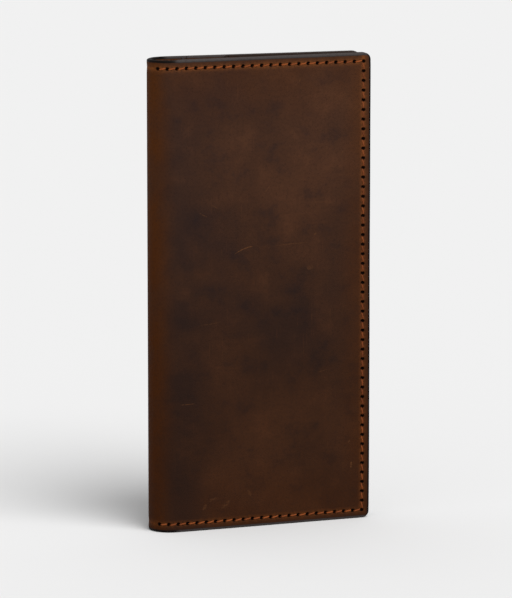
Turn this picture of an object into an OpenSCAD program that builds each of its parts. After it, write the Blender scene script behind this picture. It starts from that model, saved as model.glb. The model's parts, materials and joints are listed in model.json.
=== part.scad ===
// Long wallet in oiled leather. One cover is folded round an open spine. A stack of
// card pockets is sewn into its front half and a bill pocket and a slip pocket into
// its back half, with a saddle stitch round three sides of each half.
//
// Frame: X runs from the fold (-X) to the open edge (+X), Y from the front cover (-Y)
// to the back cover (+Y) and Z up the length, with the origin under the box's middle.
// Each half is drawn once in its own flat frame: x from the centre of the fold's arc
// to the open edge, y outwards to the cover's outer face, z up the length.

/* [Wallet] */
// Length along the fold
length = 190; // [180:1:200]
// Width when closed, from the fold to the open edge
width = 92; // [92:1:100]
// Depth over the fold, from outer face to outer face
fold_depth = 17.2; // [17:0.1:18.4]
// Angle between the two closed halves, in degrees
wedge = 4.5; // [4:0.1:4.6]
// Corner radius at the open edge
corner_r = 2.8; // [1:0.1:4]
// How far the back cover's open edge stays behind the front cover's
back_short = 2; // [0:0.5:3]
// Width of the slit that stands for the soft bend at each end of the fold's arc
fold_slit = 0.8; // [0.8:0.1:1.2]

/* [Leather] */
// Thickness of the cover
cover_t = 2; // [1.8:0.1:2.1]
// Thickness of the two inner panels
panel_t = 1; // [0.8:0.1:1.1]
// Thickness of each card pocket
pocket_t = 0.6; // [0.5:0.05:0.65]
// Thickness of the front card pocket and the slip pocket
facing_t = 0.9; // [0.7:0.1:1]
// Depth of the bill pockets between a cover and its panel when they are empty
bill_gap = 0.3; // [0.2:0.1:0.4]

/* [Pockets] */
// Distance from the fold line to the mouth of the first card pocket
first_mouth = 6; // [5:1:7]
// Step from one card mouth to the next
slot_step = 10; // [9:0.5:10]
// Depth of each card pocket, from mouth to foot
pocket_l = 51; // [48:1:51]
// Depth of the ears that hold a card pocket at its two ends
ear_l = 8; // [6:0.5:8]
// Width of the sewn margin round each pocket
seam_w = 4.6; // [4.5:0.1:5]
// Distance from the fold line to the back panel's free edge
bill_mouth = 7; // [5:1:10]
// Distance from the fold line to the slip pocket's mouth
slip_mouth = 24; // [20:1:40]

/* [Stitching] */
// Distance from the edge to the line of stitches
margin = 3.35; // [3.2:0.05:3.6]
// Distance between stitch holes
pitch = 3.9; // [3.5:0.1:4.5]
// Visible length of one stitch
stitch_l = 2.9; // [2.2:0.1:3]
// Width of the thread
thread_w = 0.6; // [0.4:0.05:0.7]
// Thickness of the thread
thread_t = 0.35; // [0.25:0.05:0.35]
// Turn of each stitch away from its line, in degrees
slant = 6; // [0:1:6]

/* [Hidden] */

// Fold: radii of the arc, its centre in X, and how far each half reaches from it
outer_r = fold_depth / 2;
inner_r = outer_r - cover_t;
fold_x = outer_r - width / 2;
front_l = (width - outer_r - outer_r * sin(wedge)) / cos(wedge);
back_l = front_l - back_short;
slit_turn = asin(fold_slit / (inner_r + outer_r));

// Levels of the inner faces, counted outwards from the fold's centre
panel_out = inner_r - bill_gap;
panel_in = panel_out - panel_t;
ear_in = panel_in - pocket_t;
facing_in = panel_in - facing_t;
function pocket_in(k) = panel_in - k * pocket_t;
stack_in = pocket_in(3) - facing_t;

// Card pockets: mouths, the two columns along the length, and the steps at their ends
function mouth(k) = first_mouth + (k - 1) * slot_step;
facing_mouth = mouth(4);
panel_start = 0.6;
column_gap = 0.8;
column_l = (length - column_gap) / 2;
web_t = 0.6;
tongue_inset = seam_w + 0.4;
facing_edge_w = front_l - mouth(3) - pocket_l - 1;

// Stitching: sewn channels, rows and columns
channel_w = thread_w + 0.4;
channel_d = thread_t + 0.05;
row_pitch = pitch * 1.013;
column_stitches = round((length - 2 * margin) / pitch);
column_pitch = (length - 2 * margin) / column_stitches;
divider_inset = 2.2;
foot_inset = 1.5;
foot_start = 7;

LOWER_Z = 0;
UPPER_Z = length - column_l;
ROW_Z = [margin, length - margin];

COVER = [0.24, 0.14, 0.09];
LINING = [0.3, 0.18, 0.11];
POCKET = [0.33, 0.2, 0.12];
THREAD = [0.62, 0.33, 0.17];

function flat_stitches(reach) = floor((reach - margin - fold_slit) / row_pitch);

// Places the back half's flat frame in the wallet
module in_back() {
    translate([fold_x, 0, 0]) children();
}

// Places the front half's flat frame in the wallet
module in_front() {
    translate([fold_x, 0, 0]) rotate([0, 0, wedge]) mirror([0, 1, 0]) children();
}

// A block between two corners of a half's flat frame
module block(x0, x1, y0, y1, z0, z1) {
    translate([x0, y0, z0]) cube([x1 - x0, y1 - y0, z1 - z0]);
}

// The outline of a half: square at the fold and rounded at the open edge
module outline(start, reach) {
    translate([start, 0]) square([reach - corner_r - start, length]);
    translate([start, corner_r]) square([reach - start, length - 2 * corner_r]);
    for (z = [corner_r, length - corner_r])
        translate([reach - corner_r, z]) circle(corner_r, $fn = 48);
}

// A flat sheet of leather from level y0 to level y1
module sheet(start, reach, y0, y1) {
    translate([0, y1, 0]) rotate([90, 0, 0]) linear_extrude(y1 - y0) outline(start, reach);
}

// One stitch, lying on the level "seat" and running inwards from it
module stitch(x, seat, z, along = 0) {
    translate([x, seat - thread_t / 2, z])
        rotate([0, along + slant, 0])
            cube([stitch_l, thread_t, thread_w], center = true);
}

// The channel round three sides of a cover's outer face
module channel(reach) {
    floor_y = outer_r - channel_d;
    side = channel_w / 2;
    line_x = reach - margin;
    for (z = ROW_Z) block(0, line_x + side, floor_y, outer_r + 1, z - side, z + side);
    block(line_x - side, line_x + side, floor_y, outer_r + 1, margin, length - margin);
}

// A half of the cover, with its sewn channel
module cover_half(reach) {
    difference() {
        sheet(fold_slit / 2, reach, inner_r, outer_r);
        channel(reach);
    }
}

// An inner panel: a sheet with a thicker rim on its three sewn sides
module panel(start, reach) {
    difference() {
        sheet(start, reach, panel_in, inner_r);
        block(start - 1, reach - seam_w, panel_out, inner_r + 1, seam_w, length - seam_w);
    }
}

// The stitches of one half: a row at each end and a column along the open edge.
// outer is the seat of those on the cover and seats(x) of those on the inside.
module stitches(reach, inner_seats) {
    line_x = reach - margin;
    outer_seat = outer_r - channel_d + thread_t;
    for (i = [0 : flat_stitches(reach) - 1], z = ROW_Z) {
        x = line_x - (i + 0.5) * row_pitch;
        stitch(x, outer_seat, z);
        stitch(x, inner_seats[i], z);
    }
    for (i = [0 : column_stitches - 1]) {
        z = margin + (i + 0.5) * column_pitch;
        stitch(line_x, outer_seat, z, 90);
        stitch(line_x, facing_in, z, 90);
    }
}

// The innermost level under a stitch at x, in the card half and in the bill half
function card_seat(x) =
    x + stitch_l / 2 > facing_mouth ? facing_in :
    x + stitch_l / 2 > first_mouth ? ear_in : panel_in;
function bill_seat(x) =
    x + stitch_l / 2 > slip_mouth ? facing_in :
    x + stitch_l / 2 > bill_mouth ? panel_in : inner_r;

// Card pocket k of a column that starts at z0. Its shoulder and tongue lie on the
// pockets under it, and its two ears step down to the panel, where they are sewn.
module card_pocket(k, z0) {
    x0 = mouth(k);
    z1 = z0 + column_l;
    top = pocket_in(k);
    tongue_out = pocket_in(k - 1);
    foot_x = x0 + pocket_l - foot_inset;
    side = channel_w / 2;
    difference() {
        union() {
            for (z = [z0, z1 - seam_w])
                block(x0, x0 + ear_l, ear_in, panel_in, z, z + seam_w);
            for (z = [z0 + seam_w - web_t, z1 - seam_w])
                block(x0, x0 + ear_l, top, panel_in, z, z + web_t);
            block(x0, x0 + ear_l, top, tongue_out, z0 + seam_w - web_t, z1 - seam_w + web_t);
            block(x0, x0 + pocket_l, top, tongue_out, z0 + tongue_inset, z1 - tongue_inset);
        }
        block(foot_x - side, foot_x + side, top - 1, top + channel_d,
            z0 + foot_start - 1, z1 - foot_start + 1);
    }
}

// The line of stitches across the foot of card pocket k
module foot_stitches(k, z0) {
    run = column_l - 2 * foot_start;
    count = floor(run / pitch);
    step = run / count;
    x = mouth(k) + pocket_l - foot_inset;
    for (i = [0 : count - 1])
        stitch(x, pocket_in(k) + channel_d, z0 + foot_start + (i + 0.5) * step, 90);
}

// The line of stitches that parts the two columns, at height z
module divider_stitches(z) {
    line_x = front_l - margin;
    first = line_x - 1.5 * row_pitch;
    count = floor((first - first_mouth - stitch_l / 2) / row_pitch);
    for (i = [0 : count]) {
        x = first - i * row_pitch;
        stitch(x, card_seat(x), z);
    }
}

module cover_back() {
    color(COVER) in_back() cover_half(back_l);
}

module cover_front() {
    color(COVER) in_front() cover_half(front_l);
}

// The arc of the fold, with the ends of the sewn channels
module cover_spine() {
    turn = 180 + wedge - 2 * slit_turn;
    sewn_turn = (flat_stitches(front_l) + 2) * row_pitch + margin - front_l;
    sewn_deg = sewn_turn / outer_r * 180 / PI + 4;
    color(COVER) translate([fold_x, 0, 0]) difference() {
        rotate([0, 0, 90 + slit_turn]) rotate_extrude(angle = turn, $fn = 180)
            translate([inner_r, 0]) square([cover_t, length]);
        for (z = ROW_Z, start = [90, 270 + wedge - sewn_deg])
            translate([0, 0, z - channel_w / 2]) rotate([0, 0, start])
                rotate_extrude(angle = sewn_deg, $fn = 180)
                    translate([outer_r - channel_d, 0]) square([1, channel_w]);
    }
}

module bill_panel() {
    color(LINING) in_back() panel(bill_mouth, back_l);
}

module slip_pocket() {
    color(POCKET) in_back() sheet(slip_mouth, back_l, facing_in, panel_in);
}

module card_panel() {
    color(LINING) in_front() panel(panel_start, front_l);
}

// The front pocket of both columns: raised over the card pockets in two fields, and
// stepped down to the panel along its sewn sides and between the columns
module card_facing() {
    edge_x = front_l - facing_edge_w;
    fields = [[seam_w - web_t, column_l - seam_w + web_t],
        [length - column_l + seam_w - web_t, length - seam_w + web_t]];
    color(POCKET) in_front() difference() {
        sheet(facing_mouth, front_l, stack_in, panel_in);
        for (f = fields)
            block(facing_mouth - 1, edge_x, pocket_in(3), panel_in + 1,
                f[0] + web_t, f[1] - web_t);
        block(edge_x + web_t, front_l + 1, stack_in - 1, facing_in, -1, length + 1);
        block(facing_mouth - 1, front_l + 1, stack_in - 1, facing_in, -1, fields[0][0]);
        block(facing_mouth - 1, front_l + 1, stack_in - 1, facing_in,
            fields[0][1], fields[1][0]);
        block(facing_mouth - 1, front_l + 1, stack_in - 1, facing_in,
            fields[1][1], length + 1);
    }
}

module card_pocket_lower(k) {
    color(POCKET) in_front() card_pocket(k, LOWER_Z);
}

module card_pocket_upper(k) {
    color(POCKET) in_front() card_pocket(k, UPPER_Z);
}

module thread_back() {
    line_x = back_l - margin;
    seats = [for (i = [0 : flat_stitches(back_l) - 1]) bill_seat(line_x - (i + 0.5) * row_pitch)];
    color(THREAD) in_back() stitches(back_l, seats);
}

module thread_front() {
    line_x = front_l - margin;
    seats = [for (i = [0 : flat_stitches(front_l) - 1]) card_seat(line_x - (i + 0.5) * row_pitch)];
    color(THREAD) in_front() stitches(front_l, seats);
}

// The stitches past the fold lines, bent round the arc: one at each end of each half
module thread_spine() {
    stitch_deg = stitch_l / outer_r * 180 / PI;
    first = (flat_stitches(front_l) + 1.5) * row_pitch + margin - front_l;
    first_deg = first / outer_r * 180 / PI;
    color(THREAD) translate([fold_x, 0, 0])
        for (z = ROW_Z, mid = [90 + first_deg, 270 + wedge - first_deg])
            translate([0, 0, z - thread_w / 2]) rotate([0, 0, mid - stitch_deg / 2])
                rotate_extrude(angle = stitch_deg, $fn = 180)
                    translate([outer_r - channel_d, 0]) square([thread_t, thread_w]);
}

module thread_divider_lower() {
    color(THREAD) in_front() divider_stitches(column_l - divider_inset);
}

module thread_divider_upper() {
    color(THREAD) in_front() divider_stitches(length - column_l + divider_inset);
}

module thread_foot_lower(k) {
    color(THREAD) in_front() foot_stitches(k, LOWER_Z);
}

module thread_foot_upper(k) {
    color(THREAD) in_front() foot_stitches(k, UPPER_Z);
}

cover_back();
cover_spine();
cover_front();
bill_panel();
slip_pocket();
card_panel();
card_facing();
card_pocket_lower(1);  // card_pocket_lower_1
card_pocket_lower(2);  // card_pocket_lower_2
card_pocket_lower(3);  // card_pocket_lower_3
card_pocket_upper(1);  // card_pocket_upper_1
card_pocket_upper(2);  // card_pocket_upper_2
card_pocket_upper(3);  // card_pocket_upper_3
thread_back();
thread_spine();
thread_front();
thread_divider_lower();
thread_divider_upper();
thread_foot_lower(1);  // thread_foot_lower_1
thread_foot_lower(2);  // thread_foot_lower_2
thread_foot_lower(3);  // thread_foot_lower_3
thread_foot_upper(1);  // thread_foot_upper_1
thread_foot_upper(2);  // thread_foot_upper_2
thread_foot_upper(3);  // thread_foot_upper_3
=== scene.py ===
"""Long wallet in oiled pull-up leather, closed and standing on its short end.

Every sheet of leather is worked out as a surface: a point is given by its place along the
cover's cross-section (u, from the middle of the fold to the open edge), its place along the
wallet's length (v) and its height above the sheet's visible face (h), all in millimetres.
"""
import json
import logging
import math
from dataclasses import dataclass, field
from enum import Enum
from typing import Callable, Optional, Sequence

import bpy
import numpy as np
from mathutils import Matrix, Vector


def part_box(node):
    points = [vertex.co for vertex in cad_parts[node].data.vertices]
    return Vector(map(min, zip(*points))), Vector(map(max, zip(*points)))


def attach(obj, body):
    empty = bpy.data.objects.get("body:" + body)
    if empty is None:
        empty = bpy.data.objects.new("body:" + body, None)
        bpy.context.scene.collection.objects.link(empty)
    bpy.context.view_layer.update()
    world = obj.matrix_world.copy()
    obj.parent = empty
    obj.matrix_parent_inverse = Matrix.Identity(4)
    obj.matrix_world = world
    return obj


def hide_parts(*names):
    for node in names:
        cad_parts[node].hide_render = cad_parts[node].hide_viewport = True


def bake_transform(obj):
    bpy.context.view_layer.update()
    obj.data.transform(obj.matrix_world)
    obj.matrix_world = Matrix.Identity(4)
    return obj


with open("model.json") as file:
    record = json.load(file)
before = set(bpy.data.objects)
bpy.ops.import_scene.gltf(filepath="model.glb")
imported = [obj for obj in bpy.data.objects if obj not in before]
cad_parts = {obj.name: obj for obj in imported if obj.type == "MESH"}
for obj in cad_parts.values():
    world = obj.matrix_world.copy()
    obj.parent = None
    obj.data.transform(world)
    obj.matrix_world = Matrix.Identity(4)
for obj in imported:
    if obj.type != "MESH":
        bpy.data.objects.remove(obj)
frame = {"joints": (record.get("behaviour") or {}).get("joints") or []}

LOG = logging.getLogger("long_wallet")
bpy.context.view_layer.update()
Array = np.ndarray

MM = 0.001  # metres in a millimetre
FAR = 1000.0  # a distance in millimetres that is past any sheet
SHARP_ANGLE = math.radians(65.0)  # faces that meet at a greater angle keep a hard edge
LIP = (-0.9, -0.1)  # from where to where a face climbs onto a sheet, from its free edge
SLACK = 1e-4  # rounding allowed where a mesh line may fall on a limit
OFF_LINE = 0.05  # how far a mesh line may miss a hole's centre
UNEVEN = 0.02  # how far the spacing of the mesh lines round a hole may be off
MIN_GAP = 0.3  # least distance between a sheet's first or last mesh line and its neighbour


def ease(low: float, high: float, x: Array) -> Array:
    """Smooth step from 0 at low to 1 at high: 3t^2 - 2t^3 of the share of the way.

    Args:
        low: Where the step starts.
        high: Where the step ends; it may lie below low, which turns the step round.
        x: Where to evaluate it.

    Returns:
        The step's value at each x.
    """
    t = np.clip((x - low) / (high - low), 0.0, 1.0)
    return t * t * (3.0 - 2.0 * t)


def summed(values: Array, step: float) -> Array:
    """Running integral of evenly spaced values by the trapezium rule, from 0."""
    middles = (values[1:] + values[:-1]) * 0.5 * step
    return np.concatenate([[0.0], np.cumsum(middles)])


class Side(Enum):
    """The two halves of the wallet, by the cover that each carries."""

    BACK = 1
    FRONT = -1


class Face(Enum):
    """Which face of a sheet shows: away from the wallet's middle or towards it."""

    OUTER = -1
    INNER = 1


@dataclass
class FoldCurve:
    """Cross-section of a half's outer face, from the middle of the fold to its flat part.

    The bend is even over the core of the curve and then eases off to nothing, so that its
    direction turns from square to the halves' middle plane to along the flat.

    Attributes:
        depth: Distance from the fold's centre to the flat face.
        turn: Angle through which the curve turns, in radians.
        tilt: Half the angle between the closed halves, in radians.
        core: Share of the curve's length whose bend is even.
        samples: Number of points in the table that the curve is read from.
    """

    depth: float
    turn: float
    tilt: float
    core: float = 0.45
    samples: int = 1500
    table: Array = field(init=False, repr=False)

    def __post_init__(self) -> None:
        """Sums the bend to a direction and the direction to a place, and scales both to fit."""
        t = np.linspace(0.0, 1.0, self.samples)
        bend = summed(1.0 - ease(self.core, 1.0, t), t[1])
        angle = self.turn * (1.0 - bend / bend[-1])
        run, rise = summed(np.cos(angle), t[1]), summed(np.sin(angle), t[1])
        start_x, start_y = -self.depth * math.cos(self.tilt), -self.depth * math.sin(self.tilt)
        scale = (self.depth - start_y) / rise[-1]
        self.table = np.stack([t * scale, start_x + run * scale, start_y + rise * scale, angle])

    def at(self, u: Array) -> tuple[Array, Array, Array]:
        """Place and direction on the curve and on the flat past its end.

        Args:
            u: Distance along the outer face from the middle of the fold.

        Returns:
            x towards the open edge, y outwards, and the direction's angle in radians.
        """
        s, x, y, angle = self.table
        past = np.maximum(u - s[-1], 0.0)
        return np.interp(u, s, x) + past, np.interp(u, s, y), np.interp(u, s, angle)

    def along(self, x: float) -> float:
        """Distance along the outer face at which the flat or the curve's end reaches x."""
        s, table_x = self.table[0], self.table[1]
        start = int(np.argmin(table_x))
        if x > table_x[-1]:
            return float(s[-1] + x - table_x[-1])
        return float(np.interp(x, table_x[start:], s[start:]))


@dataclass(frozen=True)
class HalfShape:
    """One half of the wallet as a bent slab: it turns sheet places into points.

    Attributes:
        side: The half.
        curve: Cross-section of its outer face.
        fold_x: The fold centre's place along X.
        wedge: Angle of the half to the X axis, in radians.
        reach: Distance from the fold's centre to the open edge.
        length: The wallet's length.
        swell: How far the middle of the half stands proud of its sewn edges.
    """

    side: Side
    curve: FoldCurve
    fold_x: float
    wedge: float
    reach: float
    length: float
    swell: float = 0.35

    PILLOW = (3.0, 26.0)
    WAVE = 0.07

    @property
    def edge(self) -> float:
        """Distance along the outer face to the open edge."""
        return self.curve.along(self.reach)

    def relief(self, u: Array, v: Array) -> Array:
        """How far the half bellies outwards: a low pillow and slow waves, none at the fold.

        The pillow is the product of steps in from the three sewn edges. The waves are sines
        of a hand's breadth or less across and along the half, a tenth of a millimetre high.
        """
        inside = ease(*self.PILLOW, self.edge - u) * ease(*self.PILLOW, v)
        inside = inside * ease(*self.PILLOW, self.length - v)
        phase = 1.3 * self.side.value
        waves = np.sin(u / 13.0 + v / 31.0 + phase) + np.sin(v / 19.0 - u / 23.0 + 2.0 * phase)
        waves = waves + 0.6 * np.sin(v / 8.5 + u / 37.0 + 3.1 * phase)
        return ease(4.0, 24.0, u) * (self.swell * inside + self.WAVE * waves)

    def place(self, u: Array, inward: Array, v: Array) -> Array:
        """Points in the wallet's frame.

        The point lies on the cross-section at u, moved along its normal by the relief less
        the inward distance, at the height v.

        Args:
            u: Distance along the outer face from the middle of the fold.
            inward: Distance in from the outer face.
            v: Height along the wallet's length.

        Returns:
            An array of points in metres.
        """
        x, y, angle = self.curve.at(u)
        out = self.relief(u, v) - inward
        x, y = x - np.sin(angle) * out, y + np.cos(angle) * out
        y = y * self.side.value
        if self.side is Side.FRONT:
            c, s = math.cos(self.wedge), math.sin(self.wedge)
            x, y = x * c - y * s, x * s + y * c
        return np.stack([x + self.fold_x, y, v + np.zeros_like(x)], axis=-1) * MM


@dataclass(frozen=True)
class SeamPlan:
    """Where the seams run.

    Attributes:
        margin: Distance from an edge to its line of stitches.
        row_pitch: Distance between holes across the wallet.
        column_pitch: Distance between holes along the wallet.
        rows: Number of stitches in an end seam, the fold's included.
        columns: Number of stitches in the seam along the open edge.
        cells: Number of mesh cells from one hole to the next.
    """

    margin: float = 3.35
    row_pitch: float = 3.95
    column_pitch: float = 3.9
    rows: int = 22
    columns: int = 47
    cells: int = 4

    def u_lines(self, edge: float, start: float, end: float) -> Array:
        """Mesh lines across the wallet between start and end, with every hole on a line."""
        step = self.row_pitch / self.cells
        corner = edge - self.margin
        first = math.ceil((start - corner) / step - 1e-6)
        last = math.floor((end - corner) / step + 1e-6)
        return corner + np.arange(first, last + 1) * step

    def v_lines(self, start: float, end: float) -> Array:
        """Mesh lines along the wallet between start and end, with every hole on a line."""
        step = self.column_pitch / self.cells
        first = math.ceil((start - self.margin) / step - 1e-6)
        last = math.floor((end - self.margin) / step + 1e-6)
        return self.margin + np.arange(first, last + 1) * step

    def row_holes(self, edge: float) -> Array:
        """The holes of an end seam, from the open edge to the fold."""
        return edge - self.margin - np.arange(self.rows + 1) * self.row_pitch

    def column_holes(self) -> Array:
        """The holes of the seam along the open edge, from the bottom up."""
        return self.margin + np.arange(self.columns + 1) * self.column_pitch


@dataclass
class MeshParts:
    """Vertices, faces and vertex values of a mesh on their way into Blender.

    Faces have four corners; a triangle repeats its last one.
    """

    places: Array
    faces: Array
    values: dict[str, Array]

    def welded(self) -> "MeshParts":
        """The same mesh with coincident vertices merged and empty faces and strays gone."""
        keys = np.round(self.places / (MM * 1e-4)).astype(np.int64)
        _, first, back = np.unique(keys, axis=0, return_index=True, return_inverse=True)
        faces = first[back.reshape(-1)][self.faces]
        same = [faces[:, k] == faces[:, (k + 1) % 4] for k in range(4)]
        for k in range(4):
            rows = same[k]
            rolled = np.roll(faces[rows], -(k + 1), axis=1)
            faces[rows] = np.concatenate([rolled[:, :3], rolled[:, 2:3]], axis=1)
        corners = np.sort(faces, axis=1)
        kinds = 1 + (np.diff(corners, axis=1) > 0).sum(axis=1)
        faces = faces[kinds >= 3]
        used, index = np.unique(faces, return_inverse=True)
        values = {name: value[used] for name, value in self.values.items()}
        return MeshParts(self.places[used], index.reshape(faces.shape), values)

    def outward(self) -> "MeshParts":
        """The same mesh with every face turned round if its volume comes out negative."""
        p = self.places[self.faces]
        volume = np.einsum("ij,ij->i", p[:, 0], np.cross(p[:, 1], p[:, 2])).sum()
        volume += np.einsum("ij,ij->i", p[:, 0], np.cross(p[:, 2], p[:, 3])).sum()
        if volume < 0:
            self.faces = np.where(
                (self.faces[:, 2] == self.faces[:, 3])[:, None],
                self.faces[:, [1, 0, 2, 2]],
                self.faces[:, ::-1],
            )
        return self


def add_piece(name: str, parts: MeshParts, material: bpy.types.Material) -> bpy.types.Object:
    """Puts a mesh into the scene, smooth, with its vertex values as attributes.

    Args:
        name: The piece's name.
        parts: Its mesh.
        material: Its finish.

    Returns:
        The new object, at the origin.
    """
    triangle = parts.faces[:, 2] == parts.faces[:, 3]
    counts = np.where(triangle, 3, 4)
    keep = np.ones(parts.faces.shape, bool)
    keep[triangle, 3] = False
    mesh = bpy.data.meshes.new(name)
    mesh.vertices.add(len(parts.places))
    mesh.vertices.foreach_set("co", parts.places.astype(np.float32).ravel())
    mesh.loops.add(int(counts.sum()))
    mesh.loops.foreach_set("vertex_index", parts.faces[keep].astype(np.int32))
    mesh.polygons.add(len(counts))
    starts = np.concatenate([[0], np.cumsum(counts)[:-1]])
    mesh.polygons.foreach_set("loop_start", starts.astype(np.int32))
    mesh.polygons.foreach_set("use_smooth", np.ones(len(counts), bool))
    for label, value in parts.values.items():
        kind, key = ("FLOAT_VECTOR", "vector") if value.ndim == 2 else ("FLOAT", "value")
        attribute = mesh.attributes.new(label, kind, "POINT")
        attribute.data.foreach_set(key, value.astype(np.float32).ravel())
    mesh.update(calc_edges=True)
    mesh.validate()
    mesh.set_sharp_from_angle(angle=SHARP_ANGLE)
    mesh.materials.append(material)
    piece = bpy.data.objects.new(name, mesh)
    bpy.context.scene.collection.objects.link(piece)
    return piece


@dataclass(frozen=True)
class EdgeFinish:
    """How a sheet's edge is rounded and burnished.

    Attributes:
        inset: Distance from the edge to the sheet's flat mesh.
        roll: Width over which each face rolls into the edge.
        loops: Number of mesh loops round the edge.
        square: 1 for a half round, and less for a squarer edge.
    """

    inset: float
    roll: float
    loops: int = 9
    square: float = 0.75

    def profile(self, thickness: float) -> tuple[Array, Array, Array]:
        """The rolled edge from the visible face to the hidden one.

        The angle runs through half a turn; depth follows its cosine and the inset one less
        its sine, each with its sharpness raised by the power that squares the edge.

        Returns:
            The loops' distances in from the edge, their depths and their burnish, 0 to 1.
        """
        angle = np.linspace(0.0, math.pi, self.loops)
        cosine = np.sign(np.cos(angle)) * np.abs(np.cos(angle)) ** (1.0 / self.square)
        sine = np.abs(np.sin(angle)) ** self.square
        return self.roll * (1.0 - sine), thickness * 0.5 * (1.0 - cosine), 0.6 + 0.4 * sine


@dataclass
class Sheet:
    """A sheet of leather with a burnished edge and stitch holes in its visible face.

    Attributes:
        name: The piece's name.
        shape: The half that it belongs to.
        u: Mesh lines across the wallet.
        v: Mesh lines along the wallet.
        thickness: The leather's thickness.
        face: The face that shows.
        edge: The edge's finish.
        base: Inward distance of the hidden face at (u, v), for a sheet that shows its inside.
        outline: Corners of the flat mesh as line numbers, in order round it.
        blocks: The flat mesh as blocks of cells: first and last lines across and along.
        holes: Line numbers of the hole centres.
        skin: Height added to the visible face at (u, v).
        rounded: Radii of those corners that are rounder than the inset.
        cut: True if the first line across is a cut that joins the other half.
        mouth: Place across the wallet of the edge with a creased line, or None.
        dividers: Heights of the two lines of stitches that part the columns and where both
            end towards the fold, or None.
        tone: Offset of the leather's pattern, so that sheets differ.
    """

    name: str
    shape: HalfShape
    u: Array
    v: Array
    thickness: float
    face: Face
    edge: EdgeFinish
    base: Callable[[Array, Array], Array]
    outline: Optional[list[tuple[int, int]]] = None
    blocks: Optional[list[tuple[int, int, int, int]]] = None
    holes: Sequence[tuple[int, int]] = ()
    skin: Callable[[Array, Array], Array] = lambda u, v: np.zeros_like(u)
    rounded: dict[int, float] = field(default_factory=dict)
    cut: bool = False
    mouth: Optional[float] = None
    dividers: Optional[tuple[float, float, float]] = None
    tone: float = 0.0

    # Each ring: share of the hole's size, height, and painted shade that darkens it towards the
    # floor.
    RING_SHARES = ((1.30, 0.0, 0.0), (0.92, 0.05, 0.0), (0.74, -0.06, 0.85), (0.58, -0.8, 1.0))
    FAN = 5
    HOLE_STRETCH = (1.08, 0.94)
    HOLE_SINK = 0.1
    CORNER_ZONE = 9.0

    def __post_init__(self) -> None:
        """Fills in the outline and the block of a plain rectangular sheet."""
        last_u, last_v = len(self.u) - 1, len(self.v) - 1
        if self.outline is None:
            self.outline = [(0, 0), (last_u, 0), (last_u, last_v), (0, last_v)]
        if self.blocks is None:
            self.blocks = [(0, last_u, 0, last_v)]

    def surface(self, u: Array, v: Array, h: Array) -> Array:
        """Points at height h above the visible face, in metres."""
        lift = h + self.skin(u, v) * np.clip(1.0 + h / self.thickness, 0.0, 1.0)
        if self.face is Face.OUTER:
            return self.shape.place(u, -lift, v)
        return self.shape.place(u, self.base(u, v) + self.thickness + lift, v)

    def flat_cells(self) -> tuple[Array, Array]:
        """Cells of the flat mesh, and which of them are left once the holes are cut out."""
        kept = np.zeros((len(self.u) - 1, len(self.v) - 1), bool)
        for u0, u1, v0, v1 in self.blocks:
            kept[u0:u1, v0:v1] = True
        solid = kept.copy()
        for i, j in self.holes:
            solid[i - 2 : i + 2, j - 2 : j + 2] = False
        return kept, solid

    def cell_faces(self, kept: Array, start: int) -> Array:
        """Faces of the marked cells, for flat vertices that are numbered from start."""
        i, j = np.nonzero(kept)
        corner = start + i * len(self.v) + j
        step = len(self.v)
        return np.stack([corner, corner + step, corner + step + 1, corner + 1], axis=1)

    def hole_parts(self, start: int) -> tuple[Array, Array, Array]:
        """Sunken rings that fill the square cut out round each hole.

        Each ring is an ellipse a little longer across the wallet, and its vertices lie on
        the rays to the sixteen vertices of the square.

        Args:
            start: Number of the first new vertex.

        Returns:
            Places (u, v, h), painted shade of each vertex, and faces.
        """
        side = np.array([(a, -2) for a in range(-2, 2)] + [(2, a) for a in range(-2, 2)]
                        + [(-a, 2) for a in range(-2, 2)] + [(-2, -a) for a in range(-2, 2)])
        centres = np.array(self.holes)
        rim = centres[:, None, :] + side[None]
        rim_index = rim[..., 0] * len(self.v) + rim[..., 1]
        angle = np.arctan2(side[:, 1], side[:, 0])
        ring = np.array(self.RING_SHARES)
        across = ring[:, None, 0] * np.cos(angle) * self.HOLE_STRETCH[0]
        along = ring[:, None, 0] * np.sin(angle) * self.HOLE_STRETCH[1]
        count, rings, spokes = len(centres), len(ring), len(side)
        u = self.u[centres[:, 0]][:, None, None] + across[None]
        v = self.v[centres[:, 1]][:, None, None] + along[None]
        h = np.broadcast_to(ring[None, :, None, 1], u.shape)
        dark = np.broadcast_to(ring[None, :, None, 2], u.shape)
        floor = np.stack([self.u[centres[:, 0]], self.v[centres[:, 1]],
                          np.full(count, ring[-1, 1] - self.HOLE_SINK)], axis=1)
        places = np.concatenate([np.stack([u, v, h], -1).reshape(-1, 3), floor])
        darkness = np.concatenate([dark.reshape(-1), np.ones(count)])
        index = start + np.arange(count * rings * spokes).reshape(count, rings, spokes)
        loops = np.concatenate([rim_index[:, None, :], index], axis=1)
        ahead = np.roll(loops, -1, axis=2)
        quads = np.stack([loops[:, :-1], ahead[:, :-1], ahead[:, 1:], loops[:, 1:]], -1)
        floor_index = start + count * rings * spokes + np.arange(count)[:, None]
        floor_index = np.broadcast_to(floor_index, (count, spokes))
        fans = np.stack([loops[:, -1], ahead[:, -1], floor_index, floor_index], -1)
        return places, darkness, np.concatenate([quads.reshape(-1, 4), fans.reshape(-1, 4)])

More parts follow.
